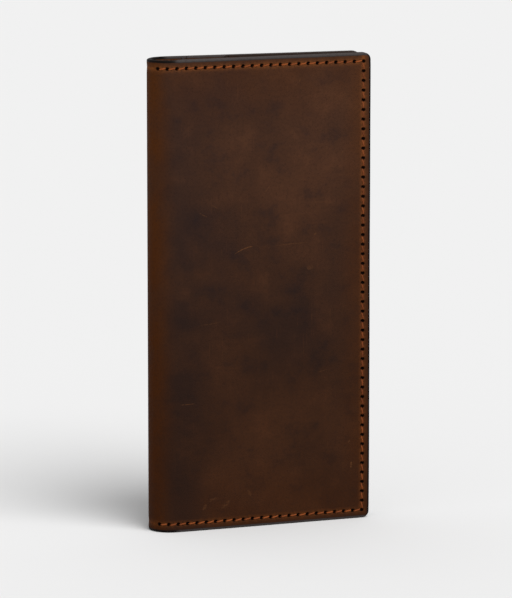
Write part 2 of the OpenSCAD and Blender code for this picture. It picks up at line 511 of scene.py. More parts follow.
    def outline_path(self) -> tuple[Array, Array, Array]:
        """The outline as line numbers, with a fan of directions at each outer corner.

        Returns:
            Line numbers, outward directions, and the corner that each entry belongs to or -1.
        """
        corners = np.array(self.outline)
        ahead = np.roll(corners, -1, axis=0) - corners
        steps = np.sign(ahead)
        normals = np.stack([steps[:, 1], -steps[:, 0]], axis=1).astype(float)
        if self.cut:
            normals[normals[:, 0] < 0] = 0.0
        path, directions, owners = [], [], []
        for k, corner in enumerate(corners):
            before, after = normals[k - 1], normals[k]
            turned = steps[k - 1][0] * steps[k][1] - steps[k - 1][1] * steps[k][0]
            convex = turned > 0
            if convex and before.any() and after.any():
                turn = np.linspace(0.0, math.pi / 2, self.FAN + 1)[:, None]
                fan = before * np.cos(turn) + after * np.sin(turn)
            else:
                fan = (before + after)[None]
            path.append(np.repeat(corner[None], len(fan), axis=0))
            directions.append(fan)
            owners.append(np.full(len(fan), k))
            count = int(np.abs(ahead[k]).sum())
            run = corner + np.arange(1, count)[:, None] * steps[k]
            path.append(run)
            directions.append(np.repeat(after[None], len(run), axis=0))
            owners.append(np.full(len(run), -1))
        return np.concatenate(path), np.concatenate(directions), np.concatenate(owners)

    def edge_loops(self, path: Array, directions: Array, owners: Array) -> Array:
        """Places (u, v, h) of the loops round the edge, by loop and by outline entry.

        A loop is the outline moved out by what is left of the inset. At a rounded corner its
        fan lies on an arc of the corner's radius, and the entries beside it are drawn out to
        the arc's ends.
        """
        insets, depths, _ = self.edge.profile(self.thickness)
        base = np.stack([self.u[path[:, 0]], self.v[path[:, 1]]], axis=1)
        out = (self.edge.inset - insets)[:, None, None]
        flat = base[None] + directions[None] * out
        for k, radius in self.rounded.items():
            corner = np.array([self.u[self.outline[k][0]], self.v[self.outline[k][1]]])
            fan = owners == k
            outside = np.sign(directions[fan].sum(axis=0))
            centre = corner - outside * (radius - self.edge.inset)
            reach = (radius - insets)[:, None, None]
            flat[:, fan] = centre + directions[fan][None] * reach
            for axis in (0, 1):
                other = 1 - axis
                away = (corner[axis] - base[:, axis]) * outside[axis]
                level = np.abs(base[:, other] - corner[other]) < 1e-6
                near = (owners < 0) & (away < self.CORNER_ZONE) & level
                share = 1.0 - away[near] / self.CORNER_ZONE
                flat[:, near, axis] -= outside[axis] * share * (radius - self.edge.inset)
        heights = np.broadcast_to(-depths[:, None, None], flat.shape[:2] + (1,))
        return np.concatenate([flat, heights], axis=2)

    def build(self, material: bpy.types.Material) -> bpy.types.Object:
        """Makes the sheet: its visible face, holes, rolled edge and hidden face."""
        kept, solid = self.flat_cells()
        grid_u, grid_v = np.meshgrid(self.u, self.v, indexing="ij")
        flat = np.stack([grid_u, grid_v, np.zeros_like(grid_u)], -1).reshape(-1, 3)
        size = len(flat)
        hidden = flat - [0.0, 0.0, self.thickness]
        path, directions, owners = self.outline_path()
        loops = self.edge_loops(path, directions, owners)
        count, spokes = loops.shape[:2]
        loop_index = 2 * size + np.arange(count * spokes).reshape(count, spokes)
        rim = path[:, 0] * len(self.v) + path[:, 1]
        rings = np.concatenate([rim[None], loop_index, size + rim[None]])
        ahead = np.roll(rings, -1, axis=1)
        band = np.stack([ahead[:-1], rings[:-1], rings[1:], ahead[1:]], -1).reshape(-1, 4)
        places = [flat, hidden, loops.reshape(-1, 3)]
        faces = [self.cell_faces(solid, 0), self.cell_faces(kept, size)[:, ::-1], band]
        burnish = np.repeat(self.edge.profile(self.thickness)[2], spokes)
        dark = np.zeros(2 * size + count * spokes)
        if len(self.holes):
            more, darkness, ringed = self.hole_parts(len(dark))
            places.append(more)
            faces.append(ringed)
            dark = np.concatenate([dark, darkness])
        uvh = np.concatenate(places)
        rest = len(uvh) - 2 * size - len(burnish)
        u, v, h = uvh.T
        mouth = -FAR if self.mouth is None else self.mouth
        values = {
            "sheet": np.stack([u * self.shape.side.value, v, h + self.tone], axis=1),
            "burnish": np.concatenate([np.zeros(2 * size), burnish, np.zeros(rest)]),
            "flesh": np.concatenate([np.zeros(size), np.ones(size), np.zeros(len(u) - 2 * size)]),
            # Painted shade in the stitch holes.
            "hole_shade": dark,
            "seam": self.seam_wear(u, v),
            "rub": self.rub(u, v),
            "edge_reflection_zone": self.edge_reflection_zone(u, v),
            "shade": self.shade(u, v),
            "mouth": u - mouth,
            "divider": self.divider_place(u, v),
        }
        parts = MeshParts(self.surface(u, v, h), np.concatenate(faces), values)
        parts = parts.welded().outward()
        piece = add_piece(self.name, parts, material)
        LOG.info("%s: %d faces", self.name, len(parts.faces))
        return piece

    def seam_wear(self, u: Array, v: Array) -> Array:
        """How near a point is to the sewn line round the half, 1 on the line and 0 off it."""
        margin = SeamPlan.margin
        across = np.abs(self.shape.edge - margin - u)
        along = np.minimum(np.abs(v - margin), np.abs(self.shape.length - margin - v))
        near = np.exp(-((np.minimum(across, along) / 0.95) ** 2))
        return near * ease(margin - 1.8, margin - 0.4, np.minimum(self.shape.edge - u, v))

    def rub(self, u: Array, v: Array) -> Array:
        """How much handling has warmed the leather: most on the fold, then along the edges."""
        fold = ease(15.0, 3.0, u)
        side = 0.50 * ease(16.0, 2.0, self.shape.edge - u)
        ends = 0.32 * ease(34.0, 2.0, np.minimum(v, self.shape.length - v))
        return np.maximum(np.maximum(fold, side), ends)

    def shade(self, u: Array, v: Array) -> Array:
        """Painted shade beside the fold, where the surface turns away from the light; least towards
        the top.
        """
        return ease(6.0, 14.0, u) * ease(32.0, 17.0, u) * (1.0 - 0.8 * ease(120.0, 175.0, v))

    def edge_reflection_zone(self, u: Array, v: Array) -> Array:
        """1 on the edges at the wallet's two ends past the fold, where layers are sewn and the edge
        gets a painted reflection.
        """
        end = ease(1.3, 0.5, np.minimum(v, self.shape.length - v))
        flat = self.shape.curve.along(0.0)
        return end * ease(flat - 1.0, flat + 1.5, u) * ease(0.4, 2.2, self.shape.edge - u)

    def divider_place(self, u: Array, v: Array) -> Array:
        """Distance across the nearer divider line and place along it from the open edge."""
        across = np.full_like(u, FAR)
        if self.dividers is not None:
            low, high, end = self.dividers
            across = np.where(v < (low + high) / 2, v - low, high - v)
            across = np.where(u < end, FAR, across)
        along = self.shape.edge - SeamPlan.margin - u
        return np.stack([across, along, np.zeros_like(u)], axis=1)


@dataclass(frozen=True)
class ThreadRun:
    """A line of stitches on one face.

    Attributes:
        start: Places (u, v) of the holes that the stitches come out of.
        end: Places (u, v) of the holes that they go into.
        surface: Turns (u, v, height above the face) into points.
        shade: How dark the thread is, 0 for bright and 1 for dark.
    """

    start: Array
    end: Array
    surface: Callable[[Array, Array, Array], Array]
    shade: float = 0.0


@dataclass(frozen=True)
class Stitching:
    """Waxed thread: each stitch is a short flattened tube that dives into both its holes.

    Attributes:
        half_width: Half the thread's width on the face.
        half_height: Half its thickness.
        crest: Height of the stitch's middle above the face.
        dive: Depth of its ends below the face.
        slant: Sideways offset at each end.
        inset: Share of the pitch left free at each end of a stitch.
        rings: Number of rings along a stitch.
        sides: Number of vertices in a ring.
    """

    half_width: float = 0.29
    half_height: float = 0.21
    crest: float = 0.12
    dive: float = 0.62
    slant: float = 0.30
    inset: float = 0.10
    rings: int = 9
    sides: int = 7

    def run_parts(self, run: ThreadRun, rng: np.random.RandomState) -> MeshParts:
        """The stitches of one run.

        Along a stitch the height is the crest less the dive times one less a flattened sine,
        and the slant grows evenly from one end to the other. Rings are ellipses square to
        the line of stitches.

        Args:
            run: The line of stitches.
            rng: Source of the small differences between stitches.

        Returns:
            Their mesh.
        """
        count = len(run.start)
        t = np.linspace(0.0, 1.0, self.rings)[None, :, None]
        theta = np.linspace(0.0, 2.0 * math.pi, self.sides, endpoint=False)[None, None, :]
        along = run.end - run.start
        length = np.linalg.norm(along, axis=1)
        direction = along / length[:, None]
        across = np.stack([-direction[:, 1], direction[:, 0]], axis=1)
        wobble = rng.uniform(-1.0, 1.0, (count, 3))[:, :, None, None]
        place = self.inset + (1.0 - 2.0 * self.inset) * t
        arch = np.sin(math.pi * t) ** 0.33
        height = -self.dive + (self.dive + self.crest) * arch + 0.02 * wobble[:, 0] * arch
        side = (2.0 * t - 1.0) * self.slant * (1.0 + 0.35 * wobble[:, 1])
        side = side + 0.04 * wobble[:, 2]
        width = self.half_width * (0.80 + 0.20 * np.sin(math.pi * t))
        lateral = side + width * np.cos(theta)
        h = height + self.half_height * np.sin(theta)
        step = place * length[:, None, None]
        u = run.start[:, 0, None, None] + direction[:, 0, None, None] * step
        u = u + across[:, 0, None, None] * lateral
        v = run.start[:, 1, None, None] + direction[:, 1, None, None] * step
        v = v + across[:, 1, None, None] * lateral
        h = np.broadcast_to(h, u.shape)
        points = run.surface(u, v, h).reshape(-1, 3)
        ends = points.reshape(count, self.rings, self.sides, 3)[:, [0, -1]].mean(axis=2)
        index = np.arange(count * self.rings * self.sides)
        index = index.reshape(count, self.rings, self.sides)
        ahead = np.roll(index, -1, axis=2)
        quads = np.stack([index[:, :-1], ahead[:, :-1], ahead[:, 1:], index[:, 1:]], -1)
        caps = index.size + np.arange(count * 2).reshape(count, 2, 1)
        caps = np.broadcast_to(caps, (count, 2, self.sides))
        first = np.stack([ahead[:, 0], index[:, 0], caps[:, 0], caps[:, 0]], -1)
        last = np.stack([index[:, -1], ahead[:, -1], caps[:, 1], caps[:, 1]], -1)
        turn = np.broadcast_to(theta / (2.0 * math.pi), u.shape).reshape(-1)
        lay = np.stack([np.broadcast_to(step, u.shape).reshape(-1), turn, np.zeros(u.size)], 1)
        lay = np.concatenate([lay, np.zeros((2 * count, 3))])
        shade = run.shade + 0.22 * rng.uniform(-1.0, 1.0, count)
        values = {
            "lay": lay,
            "shade": np.concatenate([np.repeat(shade, self.rings * self.sides),
                                     np.repeat(shade, 2)]),
            # How far down in its hole each point lies, for the thread's painted shade there.
            "deep": np.concatenate([np.clip(-h.reshape(-1) / self.dive, 0.0, 1.0),
                                    np.ones(2 * count)]),
        }
        faces = np.concatenate([quads.reshape(-1, 4), first.reshape(-1, 4), last.reshape(-1, 4)])
        return MeshParts(np.concatenate([points, ends.reshape(-1, 3)]), faces, values).outward()

    def build(self, name: str, runs: Sequence[ThreadRun], material: bpy.types.Material,
              seed: int) -> bpy.types.Object:
        """Makes one piece of several runs of stitches."""
        rng = np.random.RandomState(seed)
        parts = [self.run_parts(run, rng) for run in runs]
        offsets = np.cumsum([0] + [len(part.places) for part in parts[:-1]])
        faces = np.concatenate([part.faces + offset for part, offset in zip(parts, offsets)])
        values = {key: np.concatenate([part.values[key] for part in parts])
                  for key in parts[0].values}
        places = np.concatenate([part.places for part in parts])
        piece = add_piece(name, MeshParts(places, faces, values), material)
        LOG.info("%s: %d stitches", name, sum(len(run.start) for run in runs))
        return piece


class Tree:
    """Shorthand for adding nodes to the tree of a material or a group."""

    def __init__(self, tree: bpy.types.NodeTree) -> None:
        """Keeps the tree."""
        self.tree = tree

    def node(self, kind: str, inputs: Optional[dict] = None, **settings) -> bpy.types.Node:
        """Adds a node.

        Args:
            kind: The node's type without the words ShaderNode.
            inputs: Sockets to link from, or values, by input name or number.
            **settings: The node's own properties.

        Returns:
            The node.
        """
        node = self.tree.nodes.new("ShaderNode" + kind)
        for key, value in settings.items():
            setattr(node, key, value)
        for key, value in (inputs or {}).items():
            if isinstance(value, bpy.types.NodeSocket):
                self.tree.links.new(value, node.inputs[key])
            else:
                node.inputs[key].default_value = value
        return node

    def math(self, operation: str, a, b=0.0, c=0.0, clamp: bool = False) -> bpy.types.NodeSocket:
        """Adds a Math node and returns its value."""
        inputs = {0: a, 1: b, 2: c}
        return self.node("Math", inputs, operation=operation, use_clamp=clamp).outputs[0]

    def mix(self, share, a, b, blend: str = "MIX") -> bpy.types.NodeSocket:
        """Mixes two colours and returns the result."""
        node = self.node("Mix", {0: share, 6: a, 7: b}, data_type="RGBA", blend_type=blend)
        return node.outputs[2]

    def span(self, value, low: float, high: float, out_low: float = 0.0,
             out_high: float = 1.0) -> bpy.types.NodeSocket:
        """Maps low..high smoothly to out_low..out_high, held at both ends."""
        inputs = {0: value, 1: low, 2: high, 3: out_low, 4: out_high}
        return self.node("MapRange", inputs, interpolation_type="SMOOTHSTEP").outputs[0]

    def attribute(self, name: str) -> bpy.types.Node:
        """Reads a mesh attribute."""
        return self.node("Attribute", attribute_name=name)

    def stretch(self, place, scale: Sequence[float], offset: Sequence[float] = (0, 0, 0),
                turn: float = 0.0) -> bpy.types.NodeSocket:
        """Scales, turns and moves a place with a Mapping node."""
        inputs = {0: place, 1: offset, 2: (0.0, 0.0, turn), 3: scale}
        return self.node("Mapping", inputs).outputs[0]

    def group(self, group: bpy.types.NodeTree, inputs: dict) -> bpy.types.Node:
        """Places a node group with its own values."""
        return self.node("Group", inputs, node_tree=group)

    def bump(self, height) -> bpy.types.NodeSocket:
        """Turns a height in millimetres into a normal."""
        inputs = {"Height": height, "Distance": MM, "Strength": 1.0}
        return self.node("Bump", inputs).outputs[0]

    def link(self, values: dict, node: bpy.types.Node) -> bpy.types.NodeTree:
        """Links values to a node's inputs by name and returns the tree."""
        for label, value in values.items():
            self.tree.links.new(value, node.inputs[label])
        return self.tree

    def put_out(self, values: dict) -> bpy.types.NodeTree:
        """Puts a group's results out by name and returns the group."""
        return self.link(values, self.tree.nodes.new("NodeGroupOutput"))

    def noise(self, place, scale: float, detail: float = 4.0,
              rough: float = 0.55) -> bpy.types.NodeSocket:
        """Noise around a half, with features one over the scale across."""
        inputs = {"Vector": place, "Scale": scale, "Detail": detail, "Roughness": rough}
        return self.node("TexNoise", inputs).outputs[0]


def new_group(name: str, inputs: dict,
              outputs: dict) -> tuple[Tree, bpy.types.bpy_prop_collection]:
    """Makes an empty shader node group with named sockets.

    Args:
        name: The group's name.
        inputs: Socket kinds by name.
        outputs: Socket kinds by name.

    Returns:
        The shorthand for filling the group, and the values given to it by name.
    """
    group = bpy.data.node_groups.new(name, "ShaderNodeTree")
    for direction, sockets in (("INPUT", inputs), ("OUTPUT", outputs)):
        for label, kind in sockets.items():
            group.interface.new_socket(label, in_out=direction, socket_type="NodeSocket" + kind)
    return Tree(group), group.nodes.new("NodeGroupInput").outputs


def new_material(name: str) -> tuple[bpy.types.Material, Tree, bpy.types.Node]:
    """Makes a plain material and returns it with its tree and its shader."""
    material = bpy.data.materials.new(name)
    material.use_nodes = True
    return material, Tree(material.node_tree), material.node_tree.nodes["Principled BSDF"]


def grain_group() -> bpy.types.NodeTree:
    """Leather grain: warped pebbles, finer cells between them and fine tooth, with pores."""
    tree, given = new_group("leather_grain", {"Place": "Vector", "Coarse": "Float"},
                            {"Height": "Float", "Pores": "Float"})
    place = given["Place"]
    warp = tree.node("TexNoise", {"Vector": place, "Scale": 0.55, "Detail": 2.0})
    bend = tree.node("VectorMath", {0: warp.outputs[1], 1: (0.9, 0.9, 0.9)}, operation="MULTIPLY")
    warped = tree.node("VectorMath", {0: place, 1: bend.outputs[0]}, operation="ADD").outputs[0]
    pebbles = tree.node("TexVoronoi", {"Vector": warped, "Scale": 0.85}, feature="DISTANCE_TO_EDGE")
    cells = tree.node("TexVoronoi", {"Vector": warped, "Scale": 2.3}, feature="DISTANCE_TO_EDGE")
    big = tree.span(pebbles.outputs[0], 0.0, 0.30)
    small = tree.span(cells.outputs[0], 0.0, 0.28)
    tooth = tree.noise(place, 5.5, 3.0, 0.65)
    creased = tree.math("MULTIPLY", big, given["Coarse"])
    height = tree.math("MULTIPLY_ADD", small, 0.42, creased)
    height = tree.math("MULTIPLY_ADD", tooth, 0.55, height)
    pores = tree.math("MULTIPLY", tree.span(cells.outputs[0], 0.10, 0.0),
                      tree.span(tree.noise(place, 0.9, 2.0), 0.45, 0.62))
    return tree.put_out({"Height": height, "Pores": pores})


def pull_up_group() -> bpy.types.NodeTree:
    """Pull-up leather's tone: slow clouds, mottle, drawn-out streaks and fine light lines."""
    tree, given = new_group(
        "pull_up_tone",
        {"Place": "Vector", "Base": "Color", "Light": "Color", "Dark": "Color"},
        {"Color": "Color", "Wear": "Float"})
    place = given["Place"]
    clouds = tree.noise(place, 0.018, 3.0, 0.5)
    mottle = tree.noise(place, 0.085, 6.0, 0.62)
    fine = tree.noise(place, 0.55, 5.0, 0.6)
    streak = tree.noise(tree.stretch(place, (0.04, 0.30, 0.3), turn=0.12), 1.0, 4.0, 0.6)
    light = tree.math("ADD", tree.span(clouds, 0.46, 0.66, 0.0, 0.55),
                      tree.span(mottle, 0.50, 0.72, 0.0, 0.50))
    light = tree.math("ADD", light, tree.span(streak, 0.54, 0.80, 0.0, 0.30))
    light = tree.math("MULTIPLY_ADD", tree.span(fine, 0.50, 0.75), 0.14, light, clamp=True)
    dark = tree.math("ADD", tree.span(clouds, 0.50, 0.32, 0.0, 0.60),
                     tree.span(mottle, 0.50, 0.30, 0.0, 0.55), clamp=True)
    lines = tree.noise(tree.stretch(place, (2.6, 0.05, 0.8), turn=-0.5), 1.0, 2.0, 0.5)
    others = tree.noise(tree.stretch(place, (2.1, 0.06, 0.8), (7, 3, 1), turn=0.8), 1.0, 2.0, 0.5)
    scratch = tree.math("MAXIMUM", tree.span(lines, 0.66, 0.73), tree.span(others, 0.66, 0.73))
    scratch = tree.math("MULTIPLY", scratch, tree.span(mottle, 0.44, 0.56))
    colour = tree.mix(light, given["Base"], given["Light"])
    colour = tree.mix(dark, colour, given["Dark"])
    colour = tree.mix(tree.math("MULTIPLY", scratch, 0.55), colour, given["Light"])
    return tree.put_out({"Color": colour, "Wear": light})


def edge_group() -> bpy.types.NodeTree:
    """Burnished edge: the edge's colour laid over the leather's by the burnish, unevenly."""
    tree, given = new_group(
        "burnished_edge",
        {"Place": "Vector", "Burnish": "Float", "Color": "Color", "Edge": "Color"},
        {"Color": "Color", "Mask": "Float"})
    rub = tree.noise(given["Place"], 0.35, 5.0, 0.65)
    uneven = tree.math("MULTIPLY_ADD", tree.math("SUBTRACT", rub, 0.5), 0.4, given["Burnish"])
    mask = tree.span(uneven, 0.20, 0.45)
    colour = tree.mix(mask, given["Color"], given["Edge"])
    return tree.put_out({"Color": colour, "Mask": mask})


def scuff_group() -> bpy.types.NodeTree:
    """A bent rub mark: a thin oval about a centre, turned and curved, broken up by noise.

    The mark's own coordinates are the place less the centre, turned by the angle; its cross
    distance is reduced by the bend times the square of its long distance.
    """
    tree, given = new_group(
        "scuff_mark",
        {"Place": "Vector", "Centre": "Vector", "Angle": "Float", "Reach": "Float",
         "Width": "Float", "Bend": "Float"},
        {"Mask": "Float"})
    moved = tree.node("VectorMath", {0: given["Place"], 1: given["Centre"]},
                      operation="SUBTRACT").outputs[0]
    turned = tree.node("VectorRotate", {"Vector": moved, "Angle": given["Angle"]},
                       rotation_type="Z_AXIS").outputs[0]
    parts = tree.node("SeparateXYZ", {0: turned})
    long = parts.outputs[0]
    curve = tree.math("MULTIPLY", tree.math("MULTIPLY", long, long), given["Bend"])
    cross = tree.math("ABSOLUTE", tree.math("SUBTRACT", parts.outputs[1], curve))
    shape = tree.math("ADD", tree.math("DIVIDE", cross, given["Width"]),
                      tree.math("POWER", tree.math("ABSOLUTE",
                                tree.math("DIVIDE", long, given["Reach"])), 4.0))
    broken = tree.noise(given["Place"], 1.7, 4.0, 0.6)
    mask = tree.math("MULTIPLY", tree.span(shape, 1.0, 0.25), tree.span(broken, 0.34, 0.60))
    return tree.put_out({"Mask": mask})


@dataclass(frozen=True)
class ScuffMark:
    """One rub mark on the front cover, in millimetres and radians.

    Attributes:
        across, up: Its centre on the sheet; across counts down from 0 at the fold.
        angle: Turn of its long axis.
        reach: Half its length.
        width: Half its width.
        bend: How strongly its long axis curves.
        strength: Share of the scratch colour in it, from 0 to 1.
    """

    across: float
    up: float
    angle: float
    reach: float
    width: float
    bend: float
    strength: float


Colour = tuple[float, float, float, float]


@dataclass
class NodeLibrary:
    """The node groups that the finishes share, each built once."""

    grain: bpy.types.NodeTree = field(default_factory=grain_group)
    pull_up: bpy.types.NodeTree = field(default_factory=pull_up_group)
    edge: bpy.types.NodeTree = field(default_factory=edge_group)
    scuff: bpy.types.NodeTree = field(default_factory=scuff_group)


@dataclass(frozen=True)
class LeatherFinish:
    """Oiled leather: tone, burnished edges, flesh side, stitch holes, creases and grain, and painted
    light in its colour.

    Attributes:
        name: The material's name.
        base, light, dark: The grain side's colours.
        edge: Colour of the burnished edge.
        flesh: Colour of the flesh side.
        rough: Roughness of the grain side.
        edge_rough: Roughness of the burnished edge.
        grain: Depth of the grain in millimetres.
        coarse: Share of the coarse pebbles in it.
        specular: Specular level.
        marks: Rub marks.
        lift: Painted top light: how much lighter the leather is at its top than at its foot.
        top_light_shares: Share of the painted top light that red, green and blue get.
        rubbed: Colour of the handled leather.
        stain: Colour that the thread's wax leaves along the seams.
        scratch: Colour of the scratched marks.
        edge_reflection: Grey colour of the edge at the wallet's two ends, a painted reflection of the
            bright surroundings on the polished edge.
    """

    name: str
    base: Colour
    light: Colour
    dark: Colour
    edge: Colour
    flesh: Colour
    rough: float = 0.62
    edge_rough: float = 0.38
    grain: float = 0.05
    coarse: float = 0.5
    specular: float = 0.03
    marks: tuple[ScuffMark, ...] = ()
    lift: float = 0.0
    top_light_shares: tuple[float, float, float] = (0.9, 1.2, 1.75)
    rubbed: Colour = (0.085, 0.026, 0.0075, 1.0)
    stain: Colour = (0.150, 0.050, 0.015, 1.0)
    scratch: Colour = (0.125, 0.050, 0.018, 1.0)
    edge_reflection: Optional[Colour] = None

    FLESH_WORN = 0.45
    RECESS_SHADE = (0.006, 0.003, 0.002, 1.0)

    def build(self, library: NodeLibrary) -> bpy.types.Material:
        """Makes the material from the sheet's attributes and the shared groups."""
        material, tree, shader = new_material(self.name)
        place = tree.attribute("sheet").outputs["Vector"]
        tone = tree.group(library.pull_up, {"Place": place, "Base": self.base,
                                            "Light": self.light, "Dark": self.dark})
        colour = tone.outputs["Color"]
        rub = tree.math("MULTIPLY", tree.attribute("rub").outputs["Fac"],
                        tree.span(tree.noise(place, 0.06, 4.0), 0.30, 0.58, 0.55, 1.0))
        colour = tree.mix(rub, colour, self.rubbed)
        # Painted shade: the leather is darkened in a band beside the fold, where its surface turns
        # from the light.
        shade = tree.math("MULTIPLY", tree.attribute("shade").outputs["Fac"],
                          tree.span(tree.noise(place, 0.045, 4.0), 0.36, 0.60, 0.15, 0.60))
        colour = tree.mix(shade, colour, self.dark)
        seam = tree.math("MULTIPLY", tree.attribute("seam").outputs["Fac"],
                         tree.span(tree.noise(place, 0.7, 3.0), 0.35, 0.60, 0.25, 0.75))
        colour = tree.mix(seam, colour, self.stain)
        # Painted top light: the colour is multiplied up towards the sheet's top, most in blue, as if
        # lit from above.
        if self.lift:
            height_up = tree.node("SeparateXYZ", {0: place}).outputs[1]
            top_light_gains = {k: tree.span(height_up, 20.0, 190.0, 1.0, 1.0 + self.lift * share)
                     for k, share in enumerate(self.top_light_shares)}
            top_light_gain = tree.node("CombineColor", top_light_gains).outputs[0]
            colour = tree.mix(1.0, colour, top_light_gain, "MULTIPLY")
        for mark in self.marks:
            mask = tree.group(library.scuff, {
                "Place": place, "Centre": (mark.across, mark.up, 0.0), "Angle": mark.angle,
                "Reach": mark.reach, "Width": mark.width, "Bend": mark.bend}).outputs[0]
            colour = tree.mix(tree.math("MULTIPLY", mask, mark.strength), colour, self.scratch)
        flesh_noise = tree.noise(place, 0.8, 6.0, 0.7)
        worn = tuple(self.FLESH_WORN * c for c in self.flesh[:3]) + (1.0,)
        flesh_shade = tree.mix(tree.span(flesh_noise, 0.36, 0.66), self.flesh, worn)
        flesh = tree.attribute("flesh").outputs["Fac"]
        colour = tree.mix(flesh, colour, flesh_shade)
        edge = self.edge
        # Painted reflection: the edge past the fold turns grey, as the bright surroundings would show
        # on it.
        if self.edge_reflection is not None:
            edge = tree.mix(tree.attribute("edge_reflection_zone").outputs["Fac"], self.edge, self.edge_reflection)
        burnished = tree.group(library.edge, {
            "Place": place, "Burnish": tree.attribute("burnish").outputs["Fac"],
            "Color": colour, "Edge": edge})
        colour = burnished.outputs["Color"]
        crease = tree.attribute("mouth").outputs["Fac"]
        groove = tree.span(tree.math("ABSOLUTE", tree.math("SUBTRACT", crease, 1.9)), 0.42, 0.0)
        holes = self.divider_holes(tree)
        hole_shade = tree.math("MAXIMUM", tree.attribute("hole_shade").outputs["Fac"], holes)
        # Painted shade: near black in the stitch holes and along the creased groove at a pocket's
        # mouth.
        shade = tree.math("MAXIMUM", hole_shade, tree.math("MULTIPLY", groove, 0.55))
        colour = tree.mix(shade, colour, self.RECESS_SHADE)
        grain = tree.group(library.grain, {"Place": place, "Coarse": self.coarse})
        colour = tree.mix(tree.math("MULTIPLY", grain.outputs["Pores"], 0.55), colour, self.dark)
        rough = tree.math("MULTIPLY_ADD", tone.outputs["Wear"], 0.10, self.rough - 0.04)
        rough = tree.math("MULTIPLY_ADD", tree.noise(place, 0.9, 4.0), 0.10, rough)
        rough = tree.node("Mix", {0: burnished.outputs["Mask"], 2: rough, 3: self.edge_rough})
        rough = tree.math("MULTIPLY_ADD", flesh, 0.30, rough.outputs[0], clamp=True)
        height = tree.math("MULTIPLY", grain.outputs["Height"], self.grain)
        height = tree.math("MULTIPLY_ADD", groove, -0.16, height)
        height = tree.math("MULTIPLY_ADD", holes, -0.5, height)
        height = tree.math("MULTIPLY_ADD", tree.math("MULTIPLY", flesh, flesh_noise), 0.25, height)
        calm = tree.math("SUBTRACT", 1.0, tree.math("MULTIPLY", burnished.outputs["Mask"], 0.6))
        normal = tree.bump(tree.math("MULTIPLY", height, calm))
        tree.link({"Base Color": colour, "Roughness": rough, "Normal": normal}, shader)
        shader.inputs["Specular IOR Level"].default_value = self.specular
        return material

    def divider_holes(self, tree: Tree) -> bpy.types.NodeSocket:
        """Mask of the holes of a divider line: discs about the line at each stitch's ends."""
        parts = tree.node("SeparateXYZ", {0: tree.attribute("divider").outputs["Vector"]})
        share = tree.math("DIVIDE", parts.outputs[1], SeamPlan.row_pitch)
        from_hole = tree.math("SUBTRACT", tree.math("FRACT", tree.math("ADD", share, 0.5)), 0.5)
        from_hole = tree.math("MULTIPLY", from_hole, SeamPlan.row_pitch)
        square = tree.math("MULTIPLY", parts.outputs[0], parts.outputs[0])
        distance = tree.math("SQRT", tree.math("MULTIPLY_ADD", from_hole, from_hole, square))
        past_seam = tree.math("GREATER_THAN", share, 0.5)
        return tree.math("MULTIPLY", tree.span(distance, 0.62, 0.40), past_seam)


@dataclass(frozen=True)
class ThreadFinish:
    """Waxed twisted thread: two plies laid round each other, with painted shade between the plies and
    down in the holes.
    """

    name: str
    bright: Colour
    dark: Colour
    rough: float = 0.46
    specular: float = 0.35

    HOLE_SHADE = (0.02, 0.006, 0.003, 1.0)

    def build(self) -> bpy.types.Material:
        """Makes the material from the thread's attributes."""
        material, tree, shader = new_material(self.name)
        lay = tree.node("SeparateXYZ", {0: tree.attribute("lay").outputs["Vector"]})
        turns = tree.math("MULTIPLY_ADD", lay.outputs[0], 1.15, lay.outputs[1])
        ply = tree.math("ABSOLUTE", tree.math("SINE", tree.math("MULTIPLY", turns, 2.0 * math.pi)))
        fibre = tree.noise(tree.attribute("lay").outputs["Vector"], 6.0, 4.0)
        shade = tree.attribute("shade").outputs["Fac"]
        # Painted shade in the grooves between the two plies.
        shade = tree.math("MULTIPLY_ADD", tree.math("SUBTRACT", 1.0, ply), 0.45, shade)
        shade = tree.math("MULTIPLY_ADD", tree.math("SUBTRACT", fibre, 0.5), 0.6, shade, clamp=True)
        colour = tree.mix(shade, self.bright, self.dark)
        # Painted shade: the thread turns near black where it dives into its holes.
        colour = tree.mix(tree.attribute("deep").outputs["Fac"], colour, self.HOLE_SHADE)
        rough = tree.math("MULTIPLY_ADD", fibre, 0.2, self.rough - 0.1)
        normal = tree.bump(tree.math("MULTIPLY", ply, 0.07))
        tree.link({"Base Color": colour, "Roughness": rough, "Normal": normal}, shader)
        shader.inputs["Specular IOR Level"].default_value = self.specular
        return material


def extent(node: str) -> tuple[Array, Array]:
    """Lowest and highest corner of a CAD node in millimetres."""
    low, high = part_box(node)
    return np.array(low) / MM, np.array(high) / MM


